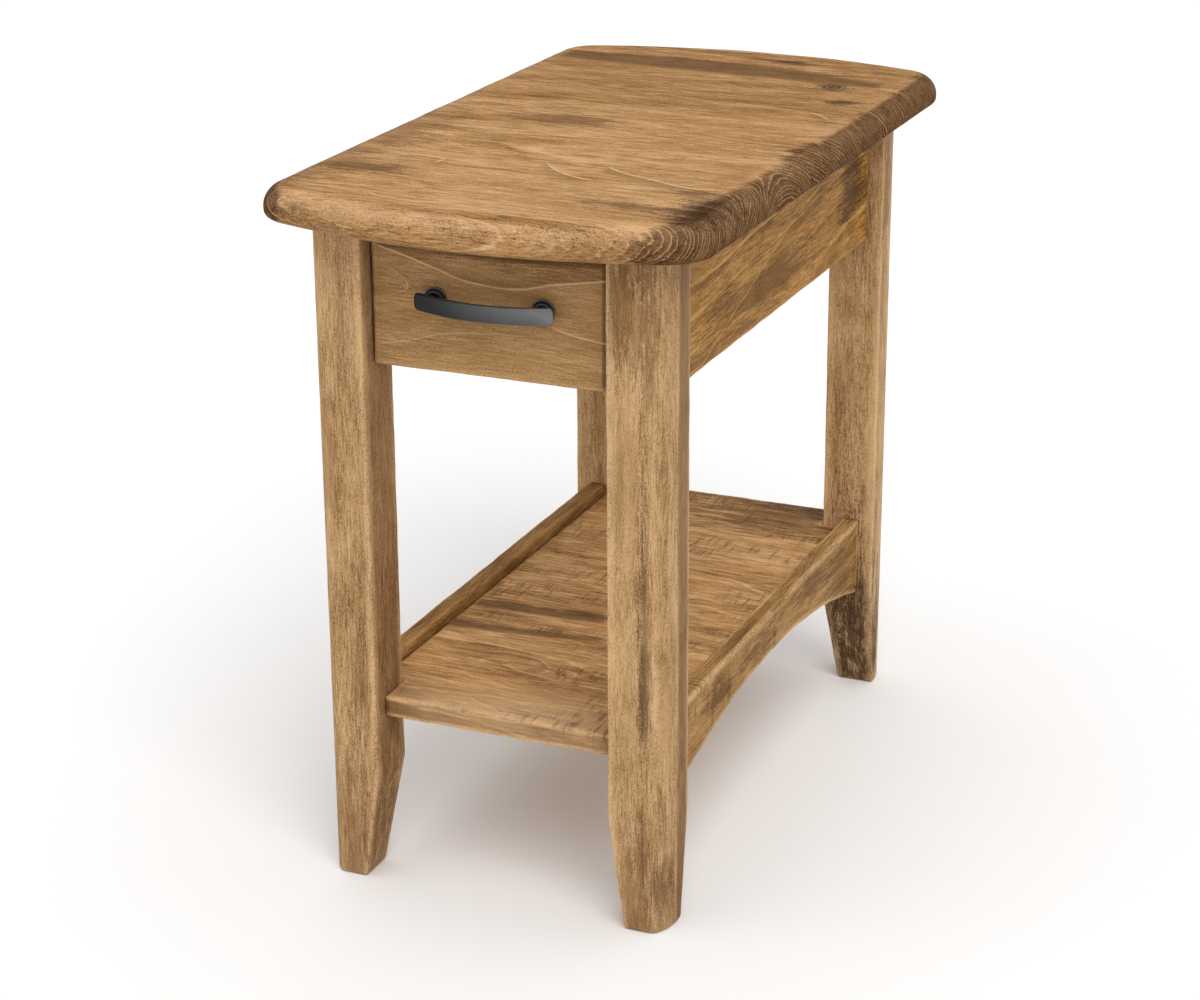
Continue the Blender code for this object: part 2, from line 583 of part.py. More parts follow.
for lr, sx in (("left", -1), ("right", 1)):
    x = sx * PULL_X
    out = BAR_OUT_END + (BAR_OUT_MID - BAR_OUT_END) * (1 - (PULL_X / BAR_HALF) ** 2)
    post = turned(unique("post"), [(0, 0), (0, POST_R), (out - 0.0022 - GAP, POST_R), (out - 0.0022 - GAP, 0)], (x, -FRONT_Y - GAP, PULL_Z), (0, -1, 0), 18)
    combine(pull, post, "UNION")
    rosette = own(turned("pull_rosette_" + lr, [
        (0, 0), (0, ROSETTE_R), (0.0012, ROSETTE_R), (0.0020, ROSETTE_R - 0.0014), (ROSETTE_T, ROSETTE_R - 0.0026), (ROSETTE_T, 0),
    ], (x, -FRONT_Y - GAP, PULL_Z), (0, -1, 0), 24), DARK)
    bore(rosette, (x, -FRONT_Y + 0.003, PULL_Z), (0, -1, 0), POST_R + GAP, 0.012, 18)
    # machine screw from the box front into the post
    start = (x, by0 + BOX_T + GAP + 0.0022, PULL_Z)
    length = BOX_T + FRONT_T + 0.0022 + 0.0095
    screw = turned("pull_screw_" + lr, [
        (0, 0), (0, 0.0030), (0.0006, 0.0040), (0.0022, 0.0040), (0.0022, 0.0018), (length, 0.0018), (length, 0),
    ], start, (0, -1, 0), 14)
    own(screw, ZINC)
    bore(box_front, (x, by0 + BOX_T + 0.002, PULL_Z), (0, -1, 0), 0.0018 + GAP, BOX_T + 0.004)
    bore(front, (x, front_back + 0.002, PULL_Z), (0, -1, 0), 0.0018 + GAP, FRONT_T + 0.004)
    bore(pull, (x, -FRONT_Y + 0.002, PULL_Z), (0, -1, 0), 0.0018 + GAP, 0.002 + 0.0105)

# screws from the drawer's slide member into the drawer side
for lr, sx in (("left", -1), ("right", 1)):
    inner = bpy.data.objects["slide_drawer_" + lr]
    for place, y in (("front", SLIDE_START + 0.060), ("back", SLIDE_START + 0.330)):
        start = (sx * (draw_web + SHEET + GAP + 0.0010), y, SLIDE_Z)
        screw = turned("side_screw_%s_%s" % (place, lr), [
            (0, 0), (0, 0.0030), (0.0010, 0.0030), (0.0010, 0.0016), (0.0095, 0.0016), (0.0118, 0),
        ], start, (-sx, 0, 0), 12)
        own(screw, ZINC)
        bore(inner, (sx * (draw_web + 0.004), y, SLIDE_Z), (-sx, 0, 0), 0.0016 + GAP, 0.008, 12)
        bore(sides[lr], (sx * (BOX_HALF_W + 0.002), y, SLIDE_Z), (-sx, 0, 0), 0.0016 + GAP, 0.002 + 0.0105, 12)

# everything on the drawer hangs from one empty on the slide axis
moving = [o for o in bpy.data.objects if o not in before]
moving += [bpy.data.objects["slide_drawer_" + lr] for lr in ("left", "right")]
for obj in moving:
    if obj.type == "MESH":
        obj.parent = drawer_origin
        obj.matrix_parent_inverse = Matrix.Translation(-drawer_origin.location)

for obj in bpy.data.objects:
    if obj.type == "MESH" and not obj.hide_render and ("screw" in obj.name or "pull" in obj.name or "leg" in obj.name or obj.name == "table_top"):
        obj.data.shade_smooth()
        obj.data.set_sharp_from_angle(angle=math.radians(25))
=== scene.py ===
import math

import bmesh
import bpy
from mathutils import Matrix, Vector, noise


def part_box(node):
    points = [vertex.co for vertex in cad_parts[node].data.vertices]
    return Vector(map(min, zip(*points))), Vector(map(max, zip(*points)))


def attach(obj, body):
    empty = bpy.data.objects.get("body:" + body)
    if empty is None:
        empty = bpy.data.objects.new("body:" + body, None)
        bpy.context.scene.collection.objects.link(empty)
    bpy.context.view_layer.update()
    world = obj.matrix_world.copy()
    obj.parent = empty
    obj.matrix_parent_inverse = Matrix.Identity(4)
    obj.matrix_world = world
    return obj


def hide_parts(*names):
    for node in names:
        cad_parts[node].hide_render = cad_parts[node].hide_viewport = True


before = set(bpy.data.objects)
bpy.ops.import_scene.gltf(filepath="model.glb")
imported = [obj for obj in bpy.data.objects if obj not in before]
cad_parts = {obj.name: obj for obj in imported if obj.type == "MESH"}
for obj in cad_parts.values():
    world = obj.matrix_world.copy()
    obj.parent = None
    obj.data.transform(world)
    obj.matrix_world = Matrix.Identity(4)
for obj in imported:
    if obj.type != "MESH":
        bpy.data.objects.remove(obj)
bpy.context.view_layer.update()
scene = bpy.context.scene
scene.view_settings.view_transform = "Standard"
scene.view_settings.look = "None"
scene.view_settings.exposure = 0.0
scene.view_settings.gamma = 1.0

TABLE, DRAWER = "table", "drawer"

# ================================================================= camera
YAW, PITCH, ROLL = 0.40563, 0.35703, -0.00588
fwd = Vector((-math.sin(YAW) * math.cos(PITCH), math.cos(YAW) * math.cos(PITCH), -math.sin(PITCH)))
flat = Vector((math.cos(YAW), math.sin(YAW), 0.0))
upward = flat.cross(fwd)
side_on = flat * math.cos(ROLL) + upward * math.sin(ROLL)
up_on = -flat * math.sin(ROLL) + upward * math.cos(ROLL)
cam_data = bpy.data.cameras.new("camera")
cam_data.sensor_width = 36.0
cam_data.sensor_fit = "HORIZONTAL"
cam_data.lens = 83.835
cam_data.clip_start, cam_data.clip_end = 0.05, 60.0
cam = bpy.data.objects.new("camera", cam_data)
turn = Matrix((side_on, up_on, -fwd)).transposed().to_4x4()
cam.matrix_world = Matrix.Translation(Vector((0.93346, -2.2364, 1.17162))) @ turn
scene.collection.objects.link(cam)
scene.camera = cam


# ================================================================= node helpers
def linear(hexcode):
    """A #rrggbb colour as linear numbers."""
    out = []
    for k in (1, 3, 5):
        c = int(hexcode[k:k + 2], 16) / 255
        out.append(c / 12.92 if c <= 0.04045 else ((c + 0.055) / 1.055) ** 2.4)
    return tuple(out)


class Tree:
    """Short names for the shader nodes of one material."""

    def __init__(self, name):
        self.mat = bpy.data.materials.new(name)
        self.mat.use_nodes = True
        self.t = self.mat.node_tree
        self.shader = self.t.nodes["Principled BSDF"]
        self.coords = self.t.nodes.new("ShaderNodeTexCoord")

    def link(self, a, b):
        self.t.links.new(a, b)

    def put(self, socket, v):
        if isinstance(v, bpy.types.NodeSocket):
            self.link(v, socket)
        elif isinstance(v, (tuple, list)) and len(v) == 3 and len(socket.default_value) == 4:
            socket.default_value = (*v, 1.0)
        else:
            socket.default_value = v

    def m(self, op, a, b=None, c=None, clamp=False):
        n = self.t.nodes.new("ShaderNodeMath")
        n.operation = op
        n.use_clamp = clamp
        for k, v in enumerate((a, b, c)):
            if v is not None:
                self.put(n.inputs[k], v)
        return n.outputs[0]

    def add(self, a, b): return self.m("ADD", a, b)
    def sub(self, a, b): return self.m("SUBTRACT", a, b)
    def mul(self, a, b, clamp=False): return self.m("MULTIPLY", a, b, clamp=clamp)

    def xyz(self, x, y, z):
        n = self.t.nodes.new("ShaderNodeCombineXYZ")
        for k, v in enumerate((x, y, z)):
            self.put(n.inputs[k], v)
        return n.outputs[0]

    def split(self, v):
        n = self.t.nodes.new("ShaderNodeSeparateXYZ")
        self.link(v, n.inputs[0])
        return n.outputs[0], n.outputs[1], n.outputs[2]

    def vm(self, op, a, b=None, out=0):
        n = self.t.nodes.new("ShaderNodeVectorMath")
        n.operation = op
        self.put(n.inputs[0], a)
        if b is not None:
            self.put(n.inputs[1], b)
        return n.outputs[out]

    def noise(self, vec, detail=2.0, rough=0.5, scale=1.0, distort=0.0, colour=False):
        n = self.t.nodes.new("ShaderNodeTexNoise")
        n.inputs["Scale"].default_value = scale
        n.inputs["Detail"].default_value = detail
        n.inputs["Roughness"].default_value = rough
        n.inputs["Distortion"].default_value = distort
        self.link(vec, n.inputs["Vector"])
        if colour:
            return self.split(n.outputs["Color"])
        return n.outputs["Fac"]

    def step(self, v, a, b, lo=0.0, hi=1.0):
        """Smooth step from a to b."""
        n = self.t.nodes.new("ShaderNodeMapRange")
        n.interpolation_type = "SMOOTHSTEP"
        n.clamp = True
        self.put(n.inputs[0], v)
        for k, w in zip((1, 2, 3, 4), (a, b, lo, hi)):
            self.put(n.inputs[k], w)
        return n.outputs[0]

    def ramp(self, v, stops, mode="LINEAR"):
        n = self.t.nodes.new("ShaderNodeValToRGB")
        n.color_ramp.interpolation = mode
        e = n.color_ramp.elements
        while len(e) < len(stops):
            e.new(0.5)
        for el, (at, colour) in zip(e, stops):
            el.position = at
            el.color = (*colour, 1.0)
        self.link(v, n.inputs[0])
        return n.outputs[0]

    def mix(self, f, a, b, mode="MIX"):
        n = self.t.nodes.new("ShaderNodeMix")
        n.data_type = "RGBA"
        n.blend_type = mode
        n.clamp_factor = True
        self.put(n.inputs["Factor"], f)
        self.put(n.inputs[6], a)
        self.put(n.inputs[7], b)
        return n.outputs[2]

    def scaled(self, colour, factor):
        n = self.t.nodes.new("ShaderNodeVectorMath")
        n.operation = "SCALE"
        n.inputs[0].default_value = colour
        self.put(n.inputs["Scale"], factor)
        return n.outputs[0]

    def curve(self, v, points):
        """The height of a smooth curve through the (v, height) points."""
        (v0, v1), hs = (points[0][0], points[-1][0]), [p[1] for p in points]
        low, span = min(hs), max(1e-6, max(hs) - min(hs))
        n = self.t.nodes.new("ShaderNodeFloatCurve")
        own = n.mapping.curves[0].points
        while len(own) < len(points):
            own.new(0.5, 0.5)
        for at, (a, h) in zip(own, points):
            at.location = ((a - v0) / (v1 - v0), 0.1 + 0.8 * (h - low) / span)
        n.mapping.update()
        self.put(n.inputs["Value"], self.m("DIVIDE", self.sub(v, v0), v1 - v0, clamp=True))
        return self.m("MULTIPLY_ADD", n.outputs[0], span / 0.8, low - 0.1 * span / 0.8)

    def attribute(self, name):
        n = self.t.nodes.new("ShaderNodeAttribute")
        n.attribute_type = "GEOMETRY"
        n.attribute_name = name
        return n.outputs["Fac"]

    def bump(self, height, strength, distance, normal=None):
        n = self.t.nodes.new("ShaderNodeBump")
        n.inputs["Strength"].default_value = strength
        n.inputs["Distance"].default_value = distance
        self.link(height, n.inputs["Height"])
        if normal is not None:
            self.link(normal, n.inputs["Normal"])
        return n.outputs[0]


# ================================================================= wood
def wood(name, axes, palette, seed, pith=(0.05, -0.06), slope=(0.03, 0.05), spacing=0.0042,
         ring=0.30, lines=0.55, line_gap=0.030, streak=0.6, blotch=0.6, speckle=0.5, fleck=0.25, boards=None, marks=(),
         end_dark=0.50, end_ring=0.5, rough=0.46, chatter=0.0, wear_and_highlight_colour=None, wear_and_highlight=0.5, finish=0.03, wander=0.030,
         stretch=1.0, end_from=(0.42, 0.80), mottled=0.45, fibre=None, hairs=(), bands=(), end_reach=None, grain=1.0):
    """Solid maple figure under a brown stain. axes gives which coordinate runs along the grain, across it and through
    the thickness. palette is (darkest, dark, middle, light). pith is where the middle of the log lies across the other
    two axes. lines are the few pale growth lines that stay visible, line_gap their spacing. hairs are single pale
    growth lines and bands are strips, some of stain and some of painted shade, each drawn along a curve."""
    fibre = streak if fibre is None else fibre
    t = Tree(name)
    P = t.coords.outputs["Object"]
    xyz = t.split(P)
    L, A, B = (xyz["XYZ".index(c)] for c in axes)
    tint = None
    if boards:
        width, offset = boards
        q = t.m("DIVIDE", t.sub(A, offset), width)
        number = t.m("FLOOR", q)
        white = t.t.nodes.new("ShaderNodeTexWhiteNoise")
        white.noise_dimensions = "1D"
        t.link(t.add(number, seed * 7.31), white.inputs["W"])
        r1, r2, r3 = t.split(white.outputs["Color"])
        edge = t.m("ABSOLUTE", t.sub(t.m("FRACT", q), 0.5))
        seam = t.step(edge, 0.5 - 0.00040 / width, 0.5)
        L2 = t.add(L, t.mul(r1, 3.0))
        a_shift = t.mul(t.sub(r2, 0.5), 0.10)
        b_shift = t.mul(t.sub(r3, 0.5), 0.04)
        tint = r2
    else:
        L2, a_shift, b_shift, seam = L, None, None, None
    L2 = t.add(L2, seed * 1.37)

    def along(l, a, detail=2.0, rough_=0.5, colour=False, twist=0.0):
        return t.noise(t.xyz(t.mul(L2, l / stretch), t.mul(A, a), t.mul(B, a)), detail, rough_, distort=twist, colour=colour)

    low = along(2.6, 6.0, 2.0, 0.5, colour=True)
    u = t.add(t.sub(A, pith[0]), t.mul(t.sub(low[0], 0.5), wander * 2))
    v = t.add(t.sub(B, pith[1]), t.mul(t.sub(low[1], 0.5), wander * 2))
    u = t.sub(u, t.mul(L, slope[0]))
    v = t.sub(v, t.mul(L, slope[1]))
    if a_shift is not None:
        u, v = t.add(u, a_shift), t.add(v, b_shift)
    d = t.m("SQRT", t.add(t.mul(u, u), t.mul(v, v)))
    wave = along(30.0, 120.0, 3.0, 0.6)
    d = t.add(d, t.mul(t.sub(wave, 0.5), 0.0042))
    uneven = t.noise(t.xyz(t.mul(d, 120.0), seed * 3.1, t.mul(L2, 0.8)), 1.0, 0.5)
    q = t.add(t.m("DIVIDE", d, spacing), t.mul(uneven, 2.0))
    p = t.m("FRACT", q)
    late = t.mul(t.step(p, 0.40, 0.90), t.step(p, 1.0, 0.93))
    pale_ring = t.step(p, 0.34, 0.05)

    # the few growth lines that stay pale under the stain, each with a soft dark side
    q2 = t.m("FRACT", t.add(t.m("DIVIDE", d, line_gap), t.mul(uneven, 0.5)))
    thin = 0.0010 / line_gap
    line = t.m("SUBTRACT", 1.0, t.m("DIVIDE", t.m("ABSOLUTE", t.sub(q2, 0.5)), thin), clamp=True)
    shade = t.mul(t.step(q2, 0.5 + thin * 1.2, 0.5 + thin * 2.0), t.step(q2, 0.5 + thin * 12, 0.5 + thin * 2.5))
    seen = t.step(low[2], 0.46, 0.60)

    medium = along(9.0, 70.0, 6.0, 0.68, twist=0.15)
    broad = along(3.6, 26.0, 3.0, 0.55)
    fine = along(42.0, 520.0 * grain, 3.0, 0.72)
    grit = along(430.0, 1150.0, 2.0, 0.65)
    cloud = along(6.5, 15.0, 4.0, 0.62, twist=0.25)
    pore = t.step(grit, 0.60, 0.74)
    patch = t.step(t.add(cloud, t.mul(t.sub(fine, 0.5), 0.35)), 0.545, 0.70)

    tone = t.add(0.61, t.mul(t.sub(medium, 0.5), streak * 1.75))
    tone = t.add(tone, t.mul(t.sub(broad, 0.5), streak * 0.90))
    tone = t.add(tone, t.mul(t.sub(fine, 0.5), fibre * 2.00))
    tone = t.add(tone, t.mul(t.sub(grit, 0.5), speckle * 1.50))
    tone = t.add(tone, t.mul(t.sub(cloud, 0.5), blotch * 0.70))
    tone = t.sub(tone, t.mul(patch, blotch * 0.30))
    tone = t.add(tone, t.mul(late, -ring * 0.30))
    tone = t.add(tone, t.mul(pale_ring, ring * 0.12))
    tone = t.add(tone, t.mul(t.mul(line, seen), lines * 0.55))
    tone = t.sub(tone, t.mul(t.mul(shade, seen), lines * 0.22))
    if tint is not None:
        tone = t.add(tone, t.mul(t.sub(tint, 0.5), 0.16))

    edge_wear_and_highlight = t.attribute("wear_and_highlight")
    mottle = along(520.0, 1300.0, 3.0, 0.75)
    nrm = t.split(t.coords.outputs["Normal"])["XYZ".index(axes[0])]
    bite = t.add(t.m("ABSOLUTE", nrm), t.mul(t.sub(medium, 0.5), 0.55))
    if end_reach:
        # stain drawn in from the end grain: (across, along) points of its inner limit
        limit = t.add(t.curve(A, end_reach), t.mul(t.sub(cloud, 0.5), 0.050))
        limit = t.add(limit, t.mul(t.sub(medium, 0.5), 0.022))
        limit = t.add(limit, t.mul(t.sub(fine, 0.5), 0.020))
        reached = t.step(t.sub(L, limit), -0.009, 0.016)
        bite = t.m("MAXIMUM", bite, t.mul(reached, end_from[0] + 0.85 * (end_from[1] - end_from[0])))
    ended = t.step(bite, end_from[0], end_from[1])
    tone = t.add(tone, t.mul(t.mul(t.mul(edge_wear_and_highlight, t.sub(1.0, ended)), t.sub(mottle, 0.48)), mottled * 3.0))
    col = t.ramp(tone, [(0.05, palette[0]), (0.36, palette[1]), (0.62, palette[2]), (0.92, palette[3])])
    col = t.mix(t.mul(pore, fleck), col, palette[0])

    # dark places: (centre, radii, strength, colour)
    rag = t.add(t.mul(t.sub(medium, 0.5), 1.8), t.mul(t.sub(fine, 0.5), 1.6))
    rag = t.add(rag, t.mul(t.sub(grit, 0.5), 1.2))
    lively = t.add(0.40, t.add(t.mul(medium, 0.60), t.mul(fine, 0.60)))
    for centre, radii, amount, colour, *curls in marks:
        q = t.vm("SUBTRACT", P, tuple(centre))
        q = t.vm("DIVIDE", q, tuple(radii))
        q = t.vm("LENGTH", q, out=1)
        near = t.step(t.add(q, rag), 1.20, 0.35)
        col = t.mix(t.mul(near, amount), col, t.scaled(colour, lively))
        if curls:
            # growth lines that close round a knot
            wavy = t.add(q, t.mul(t.sub(cloud, 0.5), 0.9))
            f = t.m("FRACT", t.mul(wavy, curls[0]))
            hair = t.mul(t.step(f, 0.62, 0.80), t.step(f, 0.98, 0.84))
            hair = t.mul(hair, t.mul(t.step(q, 1.45, 1.0), t.step(medium, 0.40, 0.56)))
            col = t.mix(t.mul(hair, curls[1]), col, palette[3])

    # strips of stain, and of painted shade: (run axis, value axis, lower curve, upper curve, softness, raggedness,
    # amount, colour[, (axis, from)])
    raw = dict(zip("XYZ", xyz))
    for run, rise, lower, upper, soft, ragged, amount, colour, *only in bands:
        value = t.add(raw[rise], t.mul(rag, ragged))
        inside = t.mul(t.step(t.sub(value, t.curve(raw[run], lower)), -soft, soft), t.step(t.sub(t.curve(raw[run], upper), value), -soft, soft))
        first, last = lower[0][0], lower[-1][0]
        ends = t.mul(t.step(raw[run], first, first + 0.010), t.step(raw[run], last, last - 0.010))
        for axis, start in only:
            ends = t.mul(ends, t.step(raw[axis], start - 0.0012, start + 0.0012))
        col = t.mix(t.mul(t.mul(inside, ends), amount), col, t.scaled(colour, lively))

    # single pale growth lines: (run axis, value axis, points, half width, strength, dark side)
    for run, rise, points, half, strength, side in hairs:
        value = t.add(raw[rise], t.mul(t.sub(medium, 0.5), 0.0030))
        off = t.sub(value, t.curve(raw[run], points))
        first, last = points[0][0], points[-1][0]
        reach = min(0.010, (last - first) * 0.2)
        ends = t.mul(t.step(raw[run], first, first + reach), t.step(raw[run], last, last - reach))
        strong = t.mul(ends, t.step(t.add(fine, t.mul(t.sub(broad, 0.5), 0.8)), 0.24, 0.46))
        if side:
            below = t.mul(t.step(off, 0.0, side * half * 1.2), t.step(off, side * half * 11.0, side * half * 2.0))
            col = t.mix(t.mul(t.mul(below, ends), strength * 0.30), col, palette[0])
        thread = t.m("SUBTRACT", 1.0, t.m("DIVIDE", t.m("ABSOLUTE", off), half), clamp=True)
        col = t.mix(t.mul(t.mul(thread, strong), strength), col, tuple(min(1.0, c * 1.22) for c in palette[3]))

    if seam is not None:
        col = t.mix(t.mul(seam, 0.30), col, palette[0])

    # end grain drinks more stain and shows its rings sharply
    dk = (end_dark, end_dark * 0.86, end_dark * 0.84)
    rings = t.mix(t.mul(t.step(p, 0.25, 0.10), end_ring), dk, (min(1.0, end_dark * 3.30), end_dark * 3.15, end_dark * 3.30))
    rings = t.mix(t.mul(late, end_ring * 0.8), rings, (end_dark * 0.62, end_dark * 0.57, end_dark * 0.50))
    col = t.mix(ended, col, t.mix(1.0, col, rings, "MULTIPLY"))

    # worn edges, and painted highlights along the arrises
    rub_and_highlight = t.mul(t.mul(edge_wear_and_highlight, t.step(t.add(mottle, t.mul(t.sub(medium, 0.5), 0.7)), 0.30, 0.66)), t.sub(1.0, t.mul(ended, 0.75)))
    col = t.mix(t.mul(rub_and_highlight, wear_and_highlight), col, wear_and_highlight_colour or palette[3])
    if chatter:
        saw = t.noise(t.xyz(t.mul(L2, 300.0), t.mul(A, 34.0), t.mul(B, 34.0)), 2.0, 0.6)
        place = t.noise(t.xyz(t.mul(L2, 9.0), t.mul(A, 17.0), t.mul(B, 17.0)), 2.0, 0.5)
        cut = t.mul(t.step(saw, 0.50, 0.64), t.step(place, 0.47, 0.62))
        col = t.mix(t.mul(cut, min(1.0, chatter) * 0.55), col, palette[0])
    t.link(col, t.shader.inputs["Base Color"])

    r = t.add(rough, t.mul(t.sub(cloud, 0.5), 0.20))
    r = t.add(r, t.mul(t.sub(fine, 0.5), 0.16))
    r = t.add(r, t.mul(ended, 0.14))
    t.link(r, t.shader.inputs["Roughness"])
    h = t.add(t.mul(fine, 0.50), t.mul(medium, 0.35))
    h = t.add(h, t.mul(grit, 0.25))
    h = t.sub(h, t.mul(late, t.add(0.08, t.mul(ended, 0.35))))
    if chatter:
        h = t.sub(h, t.mul(cut, chatter * 0.8))
    t.link(t.bump(h, 0.50, 0.00035), t.shader.inputs["Normal"])
    t.link(t.mul(t.sub(1.0, t.mul(ended, 0.6)), finish), t.shader.inputs["Specular IOR Level"])
    return t.mat


def metal(name, base, rough, edge=None, scratch=0.5, metallic=1.0, smudged=0.12, painted_sheen=None, bump=0.25):
    """Brushed or satin metal: fine grain, faint smudges and, where an edge colour is given, a painted highlight along
    the edges. The optional paler colour is a painted sheen that grows towards one end."""
    t = Tree(name)
    P = t.coords.outputs["Object"]
    x, y, z = t.split(P)
    grain = t.noise(t.xyz(t.mul(x, 260.0), t.mul(y, 2600.0), t.mul(z, 2600.0)), 3.0, 0.6)
    smudge = t.noise(P, 4.0, 0.6, scale=85.0)
    speck = t.noise(P, 2.0, 0.5, scale=1400.0)
    col = t.mix(t.step(smudge, 0.30, 0.75), tuple(c * (1 - smudged) for c in base), tuple(min(1.0, c * (1 + smudged)) for c in base))
    shine = 0.4
    if painted_sheen:
        # painted sheen: paler towards the right end of the strap and over its upper part
        shine = t.curve(x, [(-0.070, 0.0), (-0.040, 0.06), (-0.010, 0.26), (0.020, 0.50), (0.046, 0.72), (0.0575, 1.0)])
        shine = t.mul(shine, t.step(z, 0.5270, 0.5405, 0.80, 1.45))
        shine = t.mul(shine, t.add(0.88, t.mul(smudge, 0.24)))
        col = t.mix(shine, col, painted_sheen)
    col = t.mix(t.mul(t.step(speck, 0.60, 0.74), 0.30), col, tuple(c * 0.55 for c in base))
    # painted highlight along the arrises, strongest where the painted sheen is
    if edge:
        edge_wear_and_highlight = t.attribute("wear_and_highlight")
        col = t.mix(t.mul(edge_wear_and_highlight, t.m("MULTIPLY_ADD", shine, 0.75, 0.12)), col, edge)
    t.link(col, t.shader.inputs["Base Color"])
    r = t.add(rough, t.mul(t.sub(smudge, 0.5), smudged * 0.8))
    r = t.add(r, t.mul(t.sub(grain, 0.5), scratch * 0.16))
    t.link(r, t.shader.inputs["Roughness"])
    h = t.add(t.mul(grain, scratch), t.mul(speck, 0.35))
    t.link(t.bump(h, bump, 0.00012), t.shader.inputs["Normal"])
    t.shader.inputs["Metallic"].default_value = metallic
    return t.mat


# ================================================================= mesh helpers
def rnd(p, scale, seed=0.0):
    """Smooth noise of a point, about -1 to 1."""
    return noise.noise(Vector((p[0] * scale + seed, p[1] * scale - seed * 0.7, p[2] * scale + seed * 1.9)))


def smooth(t):
    t = max(0.0, min(1.0, t))
    return t * t * (3 - 2 * t)


def piece(name, verts, faces, wear_and_highlight, mat, body, nodes, weighted=True):
    mesh = bpy.data.meshes.new(name)
    mesh.from_pydata([tuple(v) for v in verts], [], faces)
    mesh.update()
    bm = bmesh.new()
    bm.from_mesh(mesh)
    bmesh.ops.recalc_face_normals(bm, faces=bm.faces)
    caps = [f for f in bm.faces if len(f.verts) > 4]
    bmesh.ops.triangulate(bm, faces=caps, quad_method="BEAUTY", ngon_method="BEAUTY")
    bm.to_mesh(mesh)
    bm.free()
    # edge weights: worn edges, and painted highlights along the arrises
    attribute = mesh.attributes.new("wear_and_highlight", "FLOAT", "POINT")
    attribute.data.foreach_set("value", wear_and_highlight)
    for poly in mesh.polygons:
        poly.use_smooth = True
    mesh.materials.append(mat)
    obj = bpy.data.objects.new(name, mesh)
    scene.collection.objects.link(obj)
    if weighted:
        mod = obj.modifiers.new("weighted normals", "WEIGHTED_NORMAL")
        mod.mode = "FACE_AREA"
        mod.weight = 80
    if nodes:
        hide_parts(*nodes)
    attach(obj, body)
    return obj


def loft(rings, close_low=True, close_high=True):
    """Faces between rings of equal length, and the two end faces."""
    count = len(rings[0])
    faces = []
    for r in range(len(rings) - 1):
        a, b = r * count, (r + 1) * count
        for k in range(count):
            n = (k + 1) % count
            faces.append((a + k, a + n, b + n, b + k))
    if close_low:
        faces.append(tuple(reversed(range(count))))
    if close_high:
        faces.append(tuple(range((len(rings) - 1) * count, len(rings) * count)))
    return faces


def dense(outline, step):
    """The outline with its long sides divided, and how each point moves per metre of inset."""
    out, moves = [], []
    corner = inward(outline)
    ends = list(zip(outline, corner))
    for ((x0, y0), m0), ((x1, y1), m1) in zip(ends, ends[1:] + ends[:1]):
        n = max(1, int(math.ceil(math.hypot(x1 - x0, y1 - y0) / step)))
        for k in range(n):
            out.append((x0 + (x1 - x0) * k / n, y0 + (y1 - y0) * k / n))
            moves.append(m0.lerp(m1, k / n))
    return out, moves


def inward(points):
    """For each point of a closed outline, how it moves per metre of inset."""
    area = sum(a[0] * b[1] - b[0] * a[1] for a, b in zip(points, points[1:] + points[:1]))
    turn = 1.0 if area > 0 else -1.0
    moves = []
    for k, p in enumerate(points):
        q, r = points[k - 1], points[(k + 1) % len(points)]
        e0 = Vector((p[0] - q[0], p[1] - q[1])).normalized()
        e1 = Vector((r[0] - p[0], r[1] - p[1])).normalized()
        n0 = Vector((-e0.y, e0.x)) * turn
        n1 = Vector((-e1.y, e1.x)) * turn
        m = n0 + n1
        m = m / max(0.25, m.dot(n0))
        moves.append(m)
    return moves


PLACE = {
    "XY": lambda a, b, c: (a, b, c),
    "YZ": lambda a, b, c: (c, a, b),
    "XZ": lambda a, b, c: (a, c, b),
}


def plank(name, outline, low, high, plane, mat, body, nodes, r=0.0016, seed=1.0, step=0.006, rough=0.5, wave=0.00018, edge_wear_and_highlight=1.0, corner=0.0):
    """A board with hand-eased edges: the round along each edge varies a little, as sanding leaves it."""
    points, moves = dense(outline, step)
    place = PLACE[plane]
    quarter = [math.pi / 2 * k / 4 for k in range(5)]
    levels = []  # (inset as a share of the local radius, height from the face as a share of it, extra inset, weight of wear and painted highlight)
    for a in quarter:
        levels.append(("low", 1 - math.sin(a), 1 - math.cos(a), 0.0, 1.0))
    mid = [("mid", 0.0, s, 0.0, 0.0) for s in (0.25, 0.5, 0.75)]
    for a in quarter:
        levels.append(("high", 1 - math.cos(a), 1 - math.sin(a), 0.0, 1.0))
    order = [("low", 1.0, 0.0, 0.0045, 0.0), ("low", 1.0, 0.0, 0.0018, 0.45)] + levels[:5]
    order += mid + levels[5:] + [("high", 1.0, 0.0, 0.0018, 0.45), ("high", 1.0, 0.0, 0.0045, 0.0)]
    verts, wear_and_highlight = [], []
    for where, share, rise, extra, w in order:
        for (x, y), m in zip(points, moves):
            p3 = place(x, y, low if where == "low" else high)
            local = r * max(0.35, 1.0 + rough * rnd(p3, 38.0, seed) + rough * 0.6 * rnd(p3, 130.0, seed + 4))
            inset = local * share + extra + wave * (1 + rnd(p3, 21.0, seed + 9))
            if where == "low":
                z = low + local * rise
            elif where == "high":
                z = high - local * rise
            else:
                z = low + (high - low) * rise
            verts.append(place(x + m.x * inset, y + m.y * inset, z))
            wear_and_highlight.append(w * edge_wear_and_highlight if where != "mid" else 0.0)
    return piece(name, verts, loft([points] * len(order)), wear_and_highlight, mat, body, nodes)


def box_outline(lo, hi, plane):
    i, j = {"XY": (0, 1), "YZ": (1, 2), "XZ": (0, 2)}[plane]
    return [(lo[i], lo[j]), (hi[i], lo[j]), (hi[i], hi[j]), (lo[i], hi[j])]


